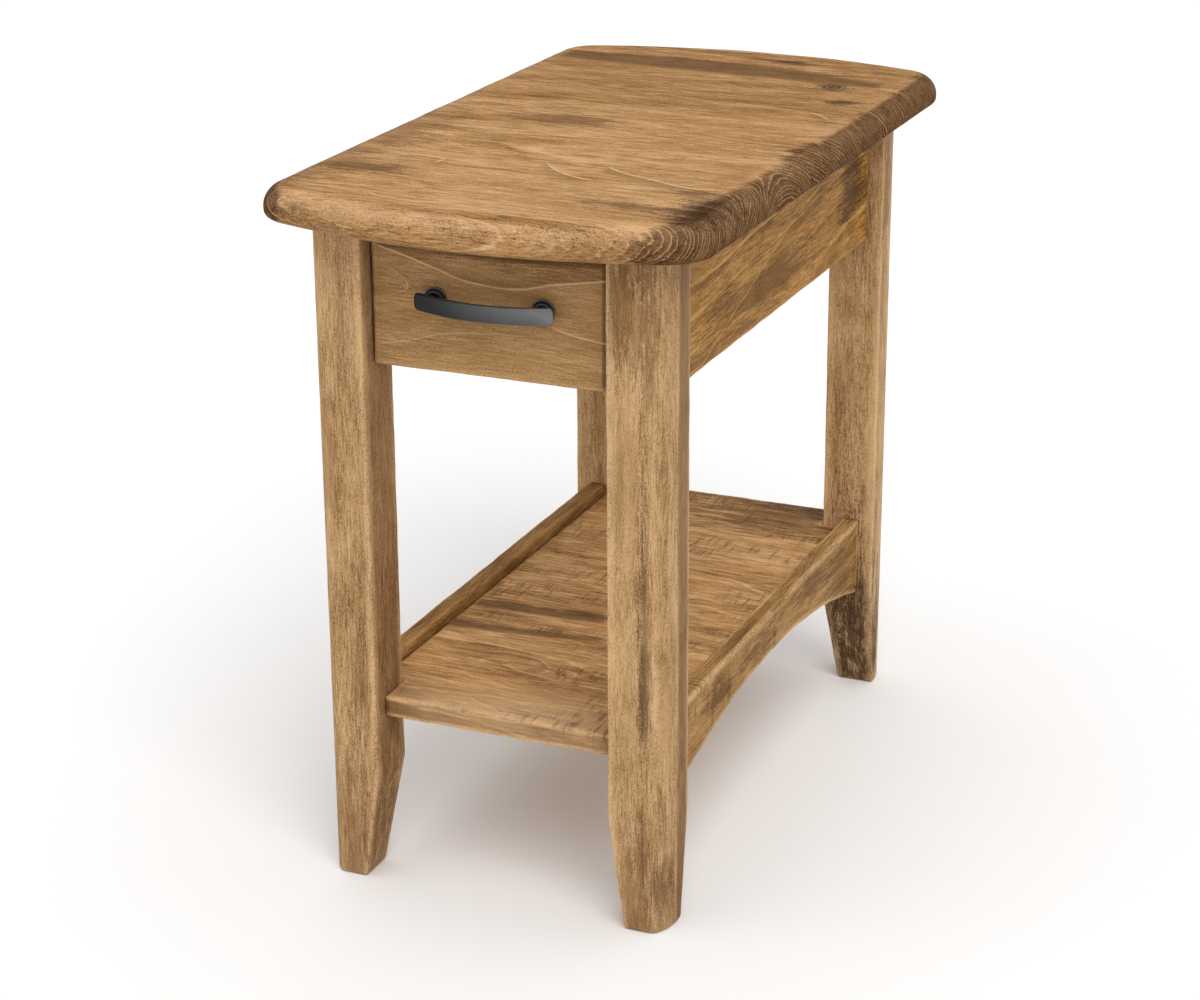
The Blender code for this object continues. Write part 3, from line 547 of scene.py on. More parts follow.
# ================================================================= sizes, read from the CAD nodes
top_lo, top_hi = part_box("table_top")
leg_lo, leg_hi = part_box("leg_front_right")
shelf_lo, shelf_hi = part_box("shelf")
rail_lo, rail_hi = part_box("lower_rail_right")
front_lo, front_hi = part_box("drawer_front")
LEG = 0.052
LEG_IN_X, LEG_IN_Y = leg_lo.x, -leg_hi.y
HEIGHT = top_hi.z
UNDER_TOP = top_lo.z
FRAME_TOP = leg_hi.z
LEG_OUT_X, LEG_OUT_Y = leg_hi.x, -leg_lo.y

# ================================================================= palettes (linear)
def shades(*codes, gain=(1.0, 1.0, 1.0)):
    return tuple(tuple(min(1.0, c * g) for c, g in zip(linear(code), gain)) for code in codes)


TOP_PAL = shades("#472d15", "#936838", "#b3854f", "#d8aa74", gain=(0.87, 0.90, 1.05))
EDGE = linear("#dcb48c")
LEG_PAL = shades("#4f371f", "#916b41", "#b48c5c", "#d0a978", gain=(0.95, 0.99, 1.13))
BACK_PAL = shades("#4f371f", "#916b41", "#b48c5c", "#d0a978", gain=(1.03, 1.10, 1.30))
RAIL_PAL = shades("#45300f", "#855c2d", "#a87b46", "#cb9d66", gain=(0.85, 0.89, 0.97))
APRON_PAL = shades("#45300f", "#7d5626", "#a3763a", "#c99b58", gain=(1.01, 0.99, 1.04))
SHELF_PAL = shades("#4b3218", "#9a6e41", "#bd8e58", "#dcb07c", gain=(1.03, 1.08, 1.18))
FRONT_PAL = shades("#4c3319", "#8a653a", "#a87f4f", "#cba474", gain=(0.91, 0.95, 1.06))
DARK = linear("#5b3d22")
STAIN = linear("#7a5634")
SOOT = linear("#4a3421")
# brown for painted shade on the front left leg's inner face, and for stain at the feet
SHADE_AND_STAIN = linear("#69482a")

# ================================================================= materials
top_mat = wood(
    "top wood", "XYZ", TOP_PAL, 1.0, pith=(-0.05, 0.50), slope=(-0.16, 0.02), spacing=0.0037, ring=0.20, lines=0.55,
    line_gap=0.034, streak=0.42, fibre=0.90, blotch=0.74, speckle=0.66, fleck=0.30, boards=(0.1324, -0.331), end_dark=0.25,
    end_ring=0.90, end_from=(0.10, 0.42), mottled=0.26, rough=0.50, wear_and_highlight_colour=EDGE, wear_and_highlight=0.55, grain=1.25, finish=0.010,
    end_reach=[(-0.345, 0.130), (-0.304, 0.148), (-0.244, 0.160), (-0.173, 0.168), (-0.063, 0.1665), (0.062, 0.175),
               (0.150, 0.1765), (0.206, 0.179), (0.345, 0.180)],
    marks=[
        ((0.120, 0.208, 0.622), (0.021, 0.017, 0.02), 0.90, linear("#3a2412"), 3.0, 0.45),
        ((0.149, 0.148, 0.622), (0.019, 0.014, 0.02), 0.80, linear("#452c17"), 3.5, 0.45),
        ((0.046, 0.303, 0.622), (0.032, 0.012, 0.02), 0.85, linear("#482e16")),
        ((-0.140, -0.232, 0.622), (0.055, 0.016, 0.02), 0.62, linear("#5f4022")),
        ((-0.175, -0.120, 0.622), (0.045, 0.160, 0.02), 0.50, linear("#664626")),
        ((-0.185, -0.290, 0.612), (0.030, 0.050, 0.03), 0.55, linear("#5f4022")),
        ((-0.055, -0.006, 0.622), (0.060, 0.022, 0.02), 0.66, linear("#634223")),
        ((-0.100, 0.180, 0.622), (0.120, 0.012, 0.02), 0.30, STAIN),
        ((0.040, 0.120, 0.622), (0.110, 0.010, 0.02), 0.28, STAIN),
        ((0.170, -0.262, 0.622), (0.030, 0.056, 0.02), 0.80, linear("#422a17")),
        ((0.118, -0.268, 0.622), (0.050, 0.012, 0.02), 0.60, linear("#553820")),
        ((0.150, -0.215, 0.622), (0.040, 0.016, 0.02), 0.50, linear("#553820")),
    ],
    bands=[
        ("X", "Y", [(-0.180, 0.247), (-0.100, 0.239), (-0.020, 0.232), (0.070, 0.227), (0.120, 0.221), (0.166, 0.221)],
         [(-0.180, 0.284), (-0.100, 0.284), (-0.020, 0.281), (0.052, 0.276), (0.110, 0.258), (0.166, 0.238)],
         0.0055, 0.0150, 0.68, linear("#50361d")),
        # painted shade along the underside and lower round of the top's edge
        ("Y", "Z", [(-0.36, 0.57), (0.36, 0.57)], [(-0.36, 0.5915), (0.36, 0.5915)], 0.0015, 0.0018, 0.60, linear("#4f341c")),
        ("Y", "Z", [(-0.36, 0.57), (0.36, 0.57)], [(-0.36, 0.5985), (0.36, 0.5985)], 0.0025, 0.0080, 0.34, linear("#7a5230")),
    ],
    hairs=[
        ("X", "Y", [(-0.134, -0.1800), (-0.111, -0.1737), (-0.0905, -0.1771)], 0.0022, 0.85, -1),
        ("Y", "X", [(-0.204, -0.0960), (-0.190, -0.0895), (-0.1771, -0.0905)], 0.0012, 0.75, 1),
        ("X", "Y", [(-0.008, -0.154), (0.0244, -0.1894), (0.0576, -0.2033)], 0.0024, 0.90, -1),
        ("X", "Y", [(0.0444, -0.1500), (0.0712, -0.1706), (0.1043, -0.1846), (0.1432, -0.1975), (0.1650, -0.1931)], 0.0024, 0.95, -1),
        ("X", "Y", [(0.135, 0.1019), (0.150, 0.0905), (0.1641, 0.0745)], 0.0022, 0.80, -1),
        ("X", "Y", [(-0.100, -0.300), (-0.057, -0.316), (-0.020, -0.312)], 0.0022, 0.60, 0),
        ("X", "Y", [(-0.150, 0.100), (-0.020, 0.070), (0.110, 0.061)], 0.0016, 0.45, 0),
        ("X", "Y", [(-0.160, -0.090), (-0.060, -0.112), (0.050, -0.122)], 0.0016, 0.45, 0),
    ])
# painted shade on the outer right side face of the front right leg
LEG_SIDE_SHADE_BANDS = {
    ("front", "right"): [
        ("Z", "X", [(-0.02, 0.1570), (0.65, 0.1570)], [(-0.02, 0.20), (0.65, 0.20)], 0.0008, 0.0006, 0.58, linear("#6b4a2b"), ("Y", -0.2765)),
    ],
}
leg_mats = {}
for n, (key, marks) in enumerate({
    ("front", "left"): [
        # painted shade down the inner face, under the table
        ((-0.108, -0.275, 0.300), (0.0030, 0.090, 0.900), 0.42, SHADE_AND_STAIN),
        ((-0.108, -0.262, 0.180), (0.0100, 0.030, 0.120), 0.35, DARK),
        ((-0.146, -0.302, 0.380), (0.014, 0.012, 0.090), 0.35, STAIN),
        ((-0.134, -0.290, -0.010), (0.100, 0.100, 0.170), 0.46, SHADE_AND_STAIN),
        ((-0.112, -0.290, 0.040), (0.012, 0.060, 0.050), 0.50, DARK),
        ((-0.128, -0.302, 0.530), (0.006, 0.012, 0.070), 0.35, STAIN),
        ((-0.120, -0.302, 0.180), (0.012, 0.012, 0.060), 0.35, STAIN),
    ],
    ("front", "right"): [
        ((0.142, -0.302, 0.262), (0.0075, 0.012, 0.130), 0.74, linear("#5f452d")),
        ((0.142, -0.302, 0.232), (0.0080, 0.012, 0.048), 0.28, linear("#4d3a29")),
        ((0.140, -0.302, 0.085), (0.0050, 0.012, 0.040), 0.45, linear("#6b4d30")),
        ((0.153, -0.296, 0.036), (0.011, 0.016, 0.032), 0.90, SOOT),
        ((0.119, -0.302, 0.330), (0.011, 0.010, 0.500), 0.16, linear("#d6b27e")),
        ((0.119, -0.302, 0.555), (0.013, 0.010, 0.060), 0.55, linear("#664526")),
        ((0.146, -0.302, 0.510), (0.010, 0.010, 0.100), 0.50, linear("#664526")),
        ((0.134, -0.302, 0.590), (0.030, 0.010, 0.030), 0.45, linear("#664526")),
        ((0.134, -0.290, -0.010), (0.100, 0.100, 0.140), 0.40, SHADE_AND_STAIN),
        ((0.134, -0.302, 0.530), (0.014, 0.010, 0.050), 0.50, linear("#76522f")),
        ((0.120, -0.302, 0.400), (0.004, 0.010, 0.150), 0.35, linear("#7d5b38")),
        ((0.157, -0.302, 0.440), (0.005, 0.010, 0.090), 0.35, linear("#7d5b38")),
    ],
    ("back", "left"): [
        ((-0.134, 0.250, 0.300), (0.010, 0.010, 0.120), 0.35, STAIN),
        ((-0.140, 0.290, 0.000), (0.090, 0.090, 0.070), 0.40, SHADE_AND_STAIN),
    ],
    ("back", "right"): [
        ((0.124, 0.246, -0.010), (0.100, 0.038, 0.210), 0.93, linear("#453423")),
        ((0.112, 0.250, -0.010), (0.060, 0.060, 0.070), 0.15, linear("#4a3524"), 4.5, 0.22),
        ((0.120, 0.250, 0.240), (0.006, 0.010, 0.110), 0.35, STAIN),
        ((0.160, 0.262, 0.520), (0.010, 0.012, 0.060), 0.45, STAIN),
        ((0.134, 0.250, 0.500), (0.020, 0.010, 0.080), 0.35, STAIN),
    ],
}.items()):
    leg_mats[key] = wood(
        "leg wood " + " ".join(key), "ZXY", BACK_PAL if key[0] == "back" else LEG_PAL, 3.1 + 1.7 * n,
        pith=(0.155 + 0.05 * (n - 1.5), -0.36 + 0.07 * n), slope=(0.035 - 0.02 * n, 0.030), spacing=0.0030, ring=0.13,
        lines=0.35, line_gap=0.019, streak=0.38, fibre=0.58, blotch=0.95, speckle=0.85, fleck=0.44, marks=marks, rough=0.50,
        wear_and_highlight=0.85, wear_and_highlight_colour=linear("#d6b283"), end_dark=0.55, stretch=0.85, bands=LEG_SIDE_SHADE_BANDS.get(key, ()))
rail_right = wood(
    "rail wood right", "YZX", RAIL_PAL, 11.3, pith=(0.22, 0.02), slope=(0.05, 0.02), spacing=0.0035, ring=0.20, lines=0.5,
    streak=0.46, fibre=0.72, blotch=1.05, speckle=0.70, fleck=0.40, chatter=1.0, rough=0.50, wear_and_highlight=0.95,
    wear_and_highlight_colour=linear("#d8b384"),
    bands=[
        # painted shade along the inner edge, where the rail meets the shelf
        ("Y", "X", [(-0.36, 0.05), (0.36, 0.05)], [(-0.36, rail_lo.x + 0.0026), (0.36, rail_lo.x + 0.0026)], 0.0008, 0.0010, 0.62, linear("#4d351c")),
    ],
    marks=[
        ((0.1455, 0.004, 0.130), (0.010, 0.0065, 0.040), 0.66, linear("#4f371d")),
        ((0.1455, -0.115, 0.150), (0.010, 0.0050, 0.030), 0.52, linear("#5a3f22")),
        ((0.1455, -0.155, 0.140), (0.010, 0.0050, 0.030), 0.48, linear("#5a3f22")),
        ((0.1380, -0.070, 0.182), (0.008, 0.040, 0.004), 0.50, linear("#5a3f22")),
        ((0.148, -0.050, 0.158), (0.02, 0.050, 0.012), 0.62, DARK),
        ((0.148, 0.020, 0.190), (0.02, 0.040, 0.010), 0.35, DARK),
        ((0.145, 0.110, 0.165), (0.02, 0.060, 0.014), 0.60, DARK),
        ((0.145, 0.200, 0.150), (0.02, 0.050, 0.040), 0.50, linear("#5d4020")),
        ((0.145, -0.150, 0.155), (0.02, 0.050, 0.014), 0.58, DARK),
    ])
rail_left = wood(
    "rail wood left", "YZX", RAIL_PAL, 12.9, pith=(0.02, -0.02), slope=(0.03, 0.02), spacing=0.0035, ring=0.20, lines=0.5,
    streak=0.52, fibre=0.70, blotch=0.75, speckle=0.55, fleck=0.30, chatter=0.5, rough=0.48, wear_and_highlight=0.60,
    wear_and_highlight_colour=linear("#c79a62"))
apron_right_mat = wood(
    "apron wood right", "YZX", APRON_PAL, 15.2, pith=(0.80, 0.05), slope=(0.14, 0.02), spacing=0.0040, ring=0.25, lines=0.6,
    streak=0.38, fibre=0.70, blotch=1.00, speckle=0.62, fleck=0.34, chatter=0.35, rough=0.48, wear_and_highlight=0.45,
    marks=[
        ((0.1455, 0.200, 0.530), (0.03, 0.042, 0.046), 0.80, linear("#4c3218")),
        ((0.1455, 0.120, 0.585), (0.03, 0.050, 0.016), 0.55, linear("#5a3d1f")),
        ((0.1455, -0.040, 0.500), (0.03, 0.130, 0.022), 0.50, linear("#5d4120")),
        ((0.1455, -0.120, 0.475), (0.03, 0.110, 0.012), 0.40, STAIN),
    ],
    hairs=[
        ("Y", "Z", [(-0.190, 0.470), (-0.080, 0.505), (0.060, 0.545), (0.120, 0.556)], 0.0010, 0.60, -1),
        ("Y", "Z", [(-0.150, 0.530), (-0.060, 0.560), (0.020, 0.572)], 0.0010, 0.40, 1),
    ])
apron_left_mat = wood(
    "apron wood left", "YZX", APRON_PAL, 17.7, pith=(0.40, -0.05), slope=(0.06, 0.02), spacing=0.0040, ring=0.25, lines=0.6,
    streak=0.50, fibre=0.66, blotch=0.80, speckle=0.50, fleck=0.28, chatter=0.3, rough=0.48, wear_and_highlight=0.45)
apron_back_mat = wood(
    "apron wood back", "XZY", RAIL_PAL, 19.4, pith=(0.62, 0.20), slope=(0.06, 0.02), spacing=0.0040, ring=0.25, lines=0.6,
    streak=0.50, fibre=0.66, blotch=0.80, speckle=0.50, fleck=0.28, chatter=0.3, rough=0.48, wear_and_highlight=0.45)
shelf_mat = wood(
    "shelf wood", "XYZ", SHELF_PAL, 23.0, pith=(-0.05, 0.50), slope=(-0.18, 0.02), spacing=0.0033, ring=0.20, lines=0.55,
    line_gap=0.028, streak=0.66, fibre=0.80, blotch=0.85, speckle=0.60, fleck=0.32, boards=(0.0965, -0.286), chatter=0.9,
    end_dark=0.60, rough=0.46, wear_and_highlight=0.75, wear_and_highlight_colour=linear("#d9b184"),
    marks=[
        ((-0.018, -0.052, 0.1705), (0.024, 0.011, 0.02), 0.60, linear("#4a301b"), 4.0, 0.5),
        ((-0.020, -0.185, 0.1705), (0.048, 0.013, 0.02), 0.20, linear("#7a5634"), 2.0, 0.60),
        # painted shade across the back of the shelf, darkest at the back edge
        ((0.060, 0.260, 0.1705), (0.120, 0.060, 0.02), 0.62, linear("#573c1d")),
        ((0.080, 0.290, 0.1705), (0.060, 0.022, 0.02), 0.60, linear("#3f2b17")),
        ((-0.100, -0.280, 0.1650), (0.030, 0.020, 0.02), 0.35, STAIN),
        ((0.020, -0.290, 0.1705), (0.130, 0.060, 0.03), 0.44, linear("#d2b491")),
    ],
    bands=[
        ("X", "Y", [(-0.132, -0.072), (-0.060, -0.070), (0.010, -0.066)], [(-0.132, -0.056), (-0.060, -0.054), (0.010, -0.053)],
         0.0020, 0.0060, 0.70, linear("#5f4127")),
        ("X", "Y", [(-0.140, -0.127), (-0.050, -0.117), (0.024, -0.106)], [(-0.140, -0.112), (-0.050, -0.104), (0.024, -0.094)],
         0.0020, 0.0060, 0.62, linear("#5f4127")),
        ("X", "Y", [(-0.2, -0.4), (0.2, -0.4)], [(-0.2, shelf_lo.y + 0.0010), (0.2, shelf_lo.y + 0.0010)], 0.0004, 0.0, 0.32, linear("#7a5634")),
        # painted shade along both sides, where the shelf meets the rails
        ("Y", "X", [(-0.36, shelf_hi.x - 0.0032), (0.36, shelf_hi.x - 0.0032)], [(-0.36, 0.2), (0.36, 0.2)], 0.0008, 0.0012, 0.75, linear("#4a321b")),
        ("Y", "X", [(-0.36, -0.2), (0.36, -0.2)], [(-0.36, 0.0032 - shelf_hi.x), (0.36, 0.0032 - shelf_hi.x)], 0.0008, 0.0012, 0.60, linear("#4a321b")),
    ],
    hairs=[
        ("X", "Y", [(-0.072, -0.168), (-0.0371, -0.1595), (0.004, -0.1853)], 0.0010, 0.75, -1),
        ("X", "Y", [(-0.050, -0.1810), (-0.020, -0.194), (0.014, -0.200)], 0.0010, 0.75, -1),
        ("X", "Y", [(-0.044, -0.258), (-0.020, -0.269), (0.004, -0.2825)], 0.0010, 0.55, 1),
        ("X", "Y", [(-0.100, -0.020), (0.000, -0.012), (0.110, -0.030)], 0.0010, 0.40, 0),
        ("X", "Y", [(-0.060, 0.060), (0.040, 0.075), (0.130, 0.060)], 0.0010, 0.35, 0),
    ])
front_mat = wood(
    "drawer front wood", "XZY", FRONT_PAL, 31.0, pith=(0.560, -0.286), slope=(-0.20, 0.02), spacing=0.0060, ring=0.12, lines=0.0,
    line_gap=0.030, streak=0.24, fibre=0.50, blotch=0.46, speckle=0.60, fleck=0.34, rough=0.48, wear_and_highlight=0.55, end_dark=0.60,
    grain=1.7,
    wander=0.022, wear_and_highlight_colour=linear("#c79f6c"),
    marks=[
        # painted shadow of the top's overhang on the upper part of the face
        ((0.060, -0.286, 0.585), (0.100, 0.01, 0.022), 0.55, linear("#5d4124")),
        ((-0.030, -0.286, 0.590), (0.100, 0.01, 0.018), 0.50, linear("#5d4124")),
    ],
    bands=[
        # painted shadow under the top's overhang along the upper edge
        ("X", "Z", [(-0.1075, 0.5715), (0.000, 0.5705), (0.060, 0.5725), (0.1075, 0.5760)], [(-0.1075, 0.62), (0.000, 0.62), (0.060, 0.62), (0.1075, 0.62)],
         0.0022, 0.0010, 0.58, linear("#46311c")),
        # painted shade in the gaps beside the legs, wider at the right
        ("Z", "X", [(0.460, 0.0982), (0.600, 0.0995)], [(0.460, 0.2), (0.600, 0.2)], 0.0014, 0.0006, 0.66, linear("#33241a")),
        ("Z", "X", [(0.460, -0.2), (0.600, -0.2)], [(0.460, -0.1035), (0.600, -0.1035)], 0.0014, 0.0006, 0.60, linear("#3d2b19")),
    ],
    hairs=[
        ("X", "Z", [(-0.106, 0.5750), (-0.097, 0.5727), (-0.050, 0.5600), (-0.008, 0.5495), (0.016, 0.5487), (0.057, 0.5565), (0.100, 0.5636), (0.107, 0.565)],
         0.0011, 0.90, 1),
        ("Z", "X", [(0.5285, -0.101), (0.5345, -0.084), (0.5390, -0.0745), (0.5450, -0.0735), (0.5520, -0.083), (0.5590, -0.099)], 0.0010, 0.62, 1),
        ("X", "Z", [(0.050, 0.5225), (0.075, 0.5160), (0.100, 0.5126), (0.107, 0.5120)], 0.0010, 0.60, -1),
        ("X", "Z", [(-0.104, 0.4890), (-0.070, 0.4965), (-0.039, 0.5050), (0.010, 0.5100)], 0.0009, 0.40, -1),
    ])
flat_mat = wood(
    "flat rail wood", "XYZ", RAIL_PAL, 37.0, pith=(-0.20, 0.50), spacing=0.0045, ring=0.3, rough=0.5, wear_and_highlight=0.3)
BOX_PAL = shades("#a98a62", "#cdb184", "#dcc59b", "#e9d8b6")
BLOCK_PAL = shades("#8a7350", "#b39a70", "#c8b188", "#d8c6a2")
box_mat = wood(
    "drawer box maple", "YZX", BOX_PAL, 41.0, pith=(0.45, 0.02), spacing=0.0050, ring=0.35, streak=0.35, blotch=0.30,
    speckle=0.25, fleck=0.15, rough=0.50, end_dark=0.80, end_ring=0.3, wear_and_highlight=0.2)
box_cross_mat = wood(
    "drawer box maple crosswise", "XZY", BOX_PAL, 43.0, pith=(0.45, 0.02), spacing=0.0050, ring=0.35, streak=0.35,
    blotch=0.30, speckle=0.25, fleck=0.15, rough=0.50, end_dark=0.80, end_ring=0.3, wear_and_highlight=0.2)
bottom_mat = wood(
    "drawer bottom birch", "YXZ", BOX_PAL, 47.0, pith=(0.05, 0.30), spacing=0.0090, ring=0.40, streak=0.30, blotch=0.35,
    speckle=0.20, fleck=0.15, rough=0.52, end_dark=0.85, end_ring=0.3, wear_and_highlight=0.1)
block_mat = wood(
    "poplar block", "YXZ", BLOCK_PAL, 53.0, pith=(0.10, 0.40), spacing=0.0048, ring=0.5, streak=0.5, blotch=0.5, rough=0.58,
    end_dark=0.72, end_ring=0.4, wear_and_highlight=0.2)
# the edge colours are painted highlights on the arrises; the pull's paler colour is a painted sheen
pull_mat = metal("gunmetal", linear("#1a1a1a"), 0.32, edge=linear("#8a8c8f"), scratch=0.10, metallic=0.80, smudged=0.04,
                 painted_sheen=linear("#737475"), bump=0.05)
rose_mat = metal("gunmetal turned", linear("#24272b"), 0.34, edge=linear("#7d858e"), scratch=0.12, metallic=0.80, smudged=0.05,
                 bump=0.12)
zinc_mat = metal("zinc plate", linear("#b9bcc0"), 0.32, scratch=0.8)
screw_mat = metal("zinc screw", linear("#a9a58f"), 0.30, scratch=0.3)


# ================================================================= table top
def ring_points(reach, inner_x, inner_y, bow):
    """Plan outline of the top with corners of the given radius, bowed at front and back."""
    def normal(x):
        return Vector((2 * bow * x / inner_x ** 2, 1.0)).normalized()
    end = math.atan2(normal(inner_x).y, normal(inner_x).x)
    points = []
    bow_n, corner_n, side_n = 64, 16, 96
    for s in (1, -1):
        for k in range(corner_n + 1):
            a = end * k / corner_n
            points.append((s * (inner_x + reach * math.cos(a)), s * (inner_y + reach * math.sin(a))))
        for k in range(1, bow_n):
            x = inner_x * (1 - 2 * k / bow_n)
            n = normal(x)
            points.append((s * (x + reach * n.x), s * (inner_y + bow * (1 - (x / inner_x) ** 2) + reach * n.y)))
        for k in range(corner_n + 1):
            a = end * (1 - k / corner_n)
            points.append((s * (-inner_x - reach * math.cos(a)), s * (inner_y + reach * math.sin(a))))
        for k in range(1, side_n):
            y = inner_y * (1 - 2 * k / side_n)
            points.append((s * (-inner_x - reach), s * y))
    return points


def make_top():
    half_w = top_hi.x
    corner_r, bow, under, over = 0.0425, 0.0255, 0.0075, 0.0190
    inner_x, inner_y = half_w - corner_r, 0.331 - corner_r
    levels = [(0.034, UNDER_TOP, 0.0), (0.018, UNDER_TOP, 0.0)]
    for k in range(7):
        a = math.pi / 2 * k / 6
        levels.append((under * (1 - math.sin(a)), UNDER_TOP + under * (1 - math.cos(a)), 0.35))
    for k in range(1, 15):
        a = math.pi / 2 * k / 14
        levels.append((over * (1 - math.cos(a)), HEIGHT - over + over * math.sin(a), math.sin(2 * a) ** 0.8))
    for inset, w in ((0.0215, 0.30), (0.026, 0.12), (0.034, 0.0), (0.0424, 0.0)):
        levels.append((inset, HEIGHT, w))
    verts, wear_and_highlight, count = [], [], 0
    for inset, z, w in levels:
        ring = ring_points(corner_r - inset, inner_x, inner_y, bow)
        count = len(ring)
        for x, y in ring:
            p = Vector((x, y, z))
            side = smooth((inset < 0.0200) and 1.0 or 0.25)
            dent = 0.00042 * side * (rnd(p, 26.0, 2.0) + 0.6 * rnd(p, 75.0, 5.0) - 0.9)
            flatten = max(0.0, dent)
            pull_in = min(0.0, dent)
            m = Vector((x, y, 0)).normalized()
            zz = z
            if z > UNDER_TOP + 0.012:
                zz = min(HEIGHT, z + pull_in * 0.6)
            verts.append((x + m.x * (pull_in - flatten * 0), y + m.y * (pull_in - flatten * 0), zz))
            wear_and_highlight.append(w)
    faces = loft([ring] * len(levels))
    return piece("top_board", verts, faces, wear_and_highlight, top_mat, TABLE, ["table_top"])


make_top()


# ================================================================= legs
def leg_outline(taper, shrink, soft):
    """Section of a leg from its inner corner (0, 0) to the outer corner; an oval round on the outer corner."""
    round_a, round_b, crease = 0.015, 0.026, math.radians(18)
    oval_a = round_a / math.cos(crease)
    oval_b = round_b / (1 - math.sin(crease))
    cu, cv = LEG - round_a, LEG - oval_b
    low = taper + shrink
    arc = []
    for k in range(29):
        a = crease + (math.pi / 2 - crease) * k / 28
        arc.append((cu + (oval_a - shrink) * math.cos(a), cv + (oval_b - shrink) * math.sin(a), 0.25 + 0.5 * (k < 2)))
    out = []

    def side(p, q, n, w0=0.0):
        for k in range(n):
            s = (k + 1) / (n + 1)
            out.append((p[0] + (q[0] - p[0]) * s, p[1] + (q[1] - p[1]) * s, w0))

    def corner(x, y, a0, n=5):
        """A quarter round whose centre is soft metres inside the corner."""
        sx, sy = {0: (1, 1), 1: (-1, 1), 3: (1, -1)}[a0]
        start = {0: math.pi, 1: 1.5 * math.pi, 3: 0.5 * math.pi}[a0]
        for k in range(n):
            a = start + math.pi / 2 * k / (n - 1)
            out.append((x + sx * soft + soft * math.cos(a), y + sy * soft + soft * math.sin(a), 1.0))

    corner(low, low, 0)
    side((low + soft, low), (LEG - shrink - soft, low), 5)
    corner(LEG - shrink, low, 1)
    side((LEG - shrink, low + soft), (LEG - shrink, arc[0][1]), 4)
    out.extend(arc)
    side((arc[-1][0], LEG - shrink), (low + soft, LEG - shrink), 5)
    corner(low, LEG - shrink, 3)
    side((low, LEG - shrink - soft), (low, low + soft), 5)
    return out


def make_leg(fb, lr, seed):
    sx, sy = (-1 if lr == "left" else 1), (-1 if fb == "front" else 1)
    taper_h, taper, ease = 0.100, 0.0148, 0.0034
    heights = [0.0, ease * 0.08, ease * 0.25, ease * 0.55, ease]
    z = 0.0065
    while z < FRAME_TOP - 0.004:
        heights.append(z)
        if abs(z - taper_h) < 0.0061 and taper_h not in heights:
            heights.append(taper_h)
        z += 0.0055
    heights = sorted([h for h in set(heights) if abs(h - taper_h) > 0.0015] + [taper_h, FRAME_TOP])
    verts, wear_and_highlight, count = [], [], 0
    for z in heights:
        tp = taper * (1 - z / taper_h) if z < taper_h else 0.0
        shrink = 0.0
        if z < ease:
            shrink = ease * (1 - math.sqrt(max(0.0, 1 - (1 - z / ease) ** 2)))
        section = leg_outline(tp, shrink, 0.0015)
        count = len(section)
        for u, v, w in section:
            p = Vector((sx * (LEG_IN_X + u), sy * (LEG_IN_Y + v), z))
            c = Vector((sx * (LEG_IN_X + (LEG + tp) / 2), sy * (LEG_IN_Y + (LEG + tp) / 2), z))
            amount = 0.00010 + 0.00030 * w
            dent = amount * max(0.0, 0.55 + rnd(p, 24.0, seed) + 0.7 * rnd(p, 85.0, seed + 3))
            d = c - p
            verts.append(p + d.normalized() * dent)
            foot = 0.8 * smooth(1 - z / 0.004)
            wear_and_highlight.append(min(1.0, w + foot))
    faces = loft([range(count)] * len(heights))
    piece("post_%s_%s" % (fb, lr), verts, faces, wear_and_highlight, leg_mats[fb, lr], TABLE, ["leg_%s_%s" % (fb, lr)])


for k, (fb, lr) in enumerate((("front", "left"), ("front", "right"), ("back", "left"), ("back", "right"))):
    make_leg(fb, lr, 10.0 + 7.0 * k)

# ================================================================= aprons, rails and shelf
GAP = 0.0003
END_Y, END_X = LEG_IN_Y - GAP, LEG_IN_X - GAP
for lr, mat in (("left", apron_left_mat), ("right", apron_right_mat)):
    lo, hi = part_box("apron_" + lr)
    lo.y, hi.y = -END_Y, END_Y
    plank("side_apron_" + lr, box_outline(lo, hi, "YZ"), lo.x, hi.x, "YZ", mat, TABLE, ["apron_" + lr],
          r=0.0022, seed=3.0 + len(lr))
lo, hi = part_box("apron_back")
lo.x, hi.x = -END_X, END_X
plank("rear_apron", box_outline(lo, hi, "XZ"), lo.y, hi.y, "XZ", apron_back_mat, TABLE, ["apron_back"], r=0.0022, seed=6.0)

for lr, mat in (("left", rail_left), ("right", rail_right)):
    lo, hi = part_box("lower_rail_" + lr)
    foot, rise, half = lo.z, 0.036, END_Y - 0.004
    outline = [(-END_Y, hi.z), (-END_Y, foot)]
    for k in range(49):
        y = -half + 2 * half * k / 48
        outline.append((y, foot + rise * (1 - (y / half) ** 2)))
    outline += [(END_Y, foot), (END_Y, hi.z)]
    plank("arched_rail_" + lr, outline, lo.x, hi.x, "YZ", mat, TABLE, ["lower_rail_" + lr], r=0.0022, seed=8.0 + len(lr))

wide, narrow, notch = shelf_hi.x, END_X, END_Y
front_y, back_y = shelf_lo.y, shelf_hi.y
outline = [
    (-narrow, front_y), (narrow, front_y), (narrow, -notch), (wide, -notch), (wide, notch), (narrow, notch),
    (narrow, back_y), (-narrow, back_y), (-narrow, notch), (-wide, notch), (-wide, -notch), (-narrow, -notch),
]
plank("shelf_board", outline, shelf_lo.z, shelf_hi.z, "XY", shelf_mat, TABLE, ["shelf"], r=0.0021, seed=12.0, rough=0.6)
plank("drawer_face", box_outline(front_lo, front_hi, "XZ"), front_lo.y, front_hi.y, "XZ", front_mat, DRAWER, ["drawer_front"],
      r=0.0022, seed=15.0, rough=0.4, step=0.004)


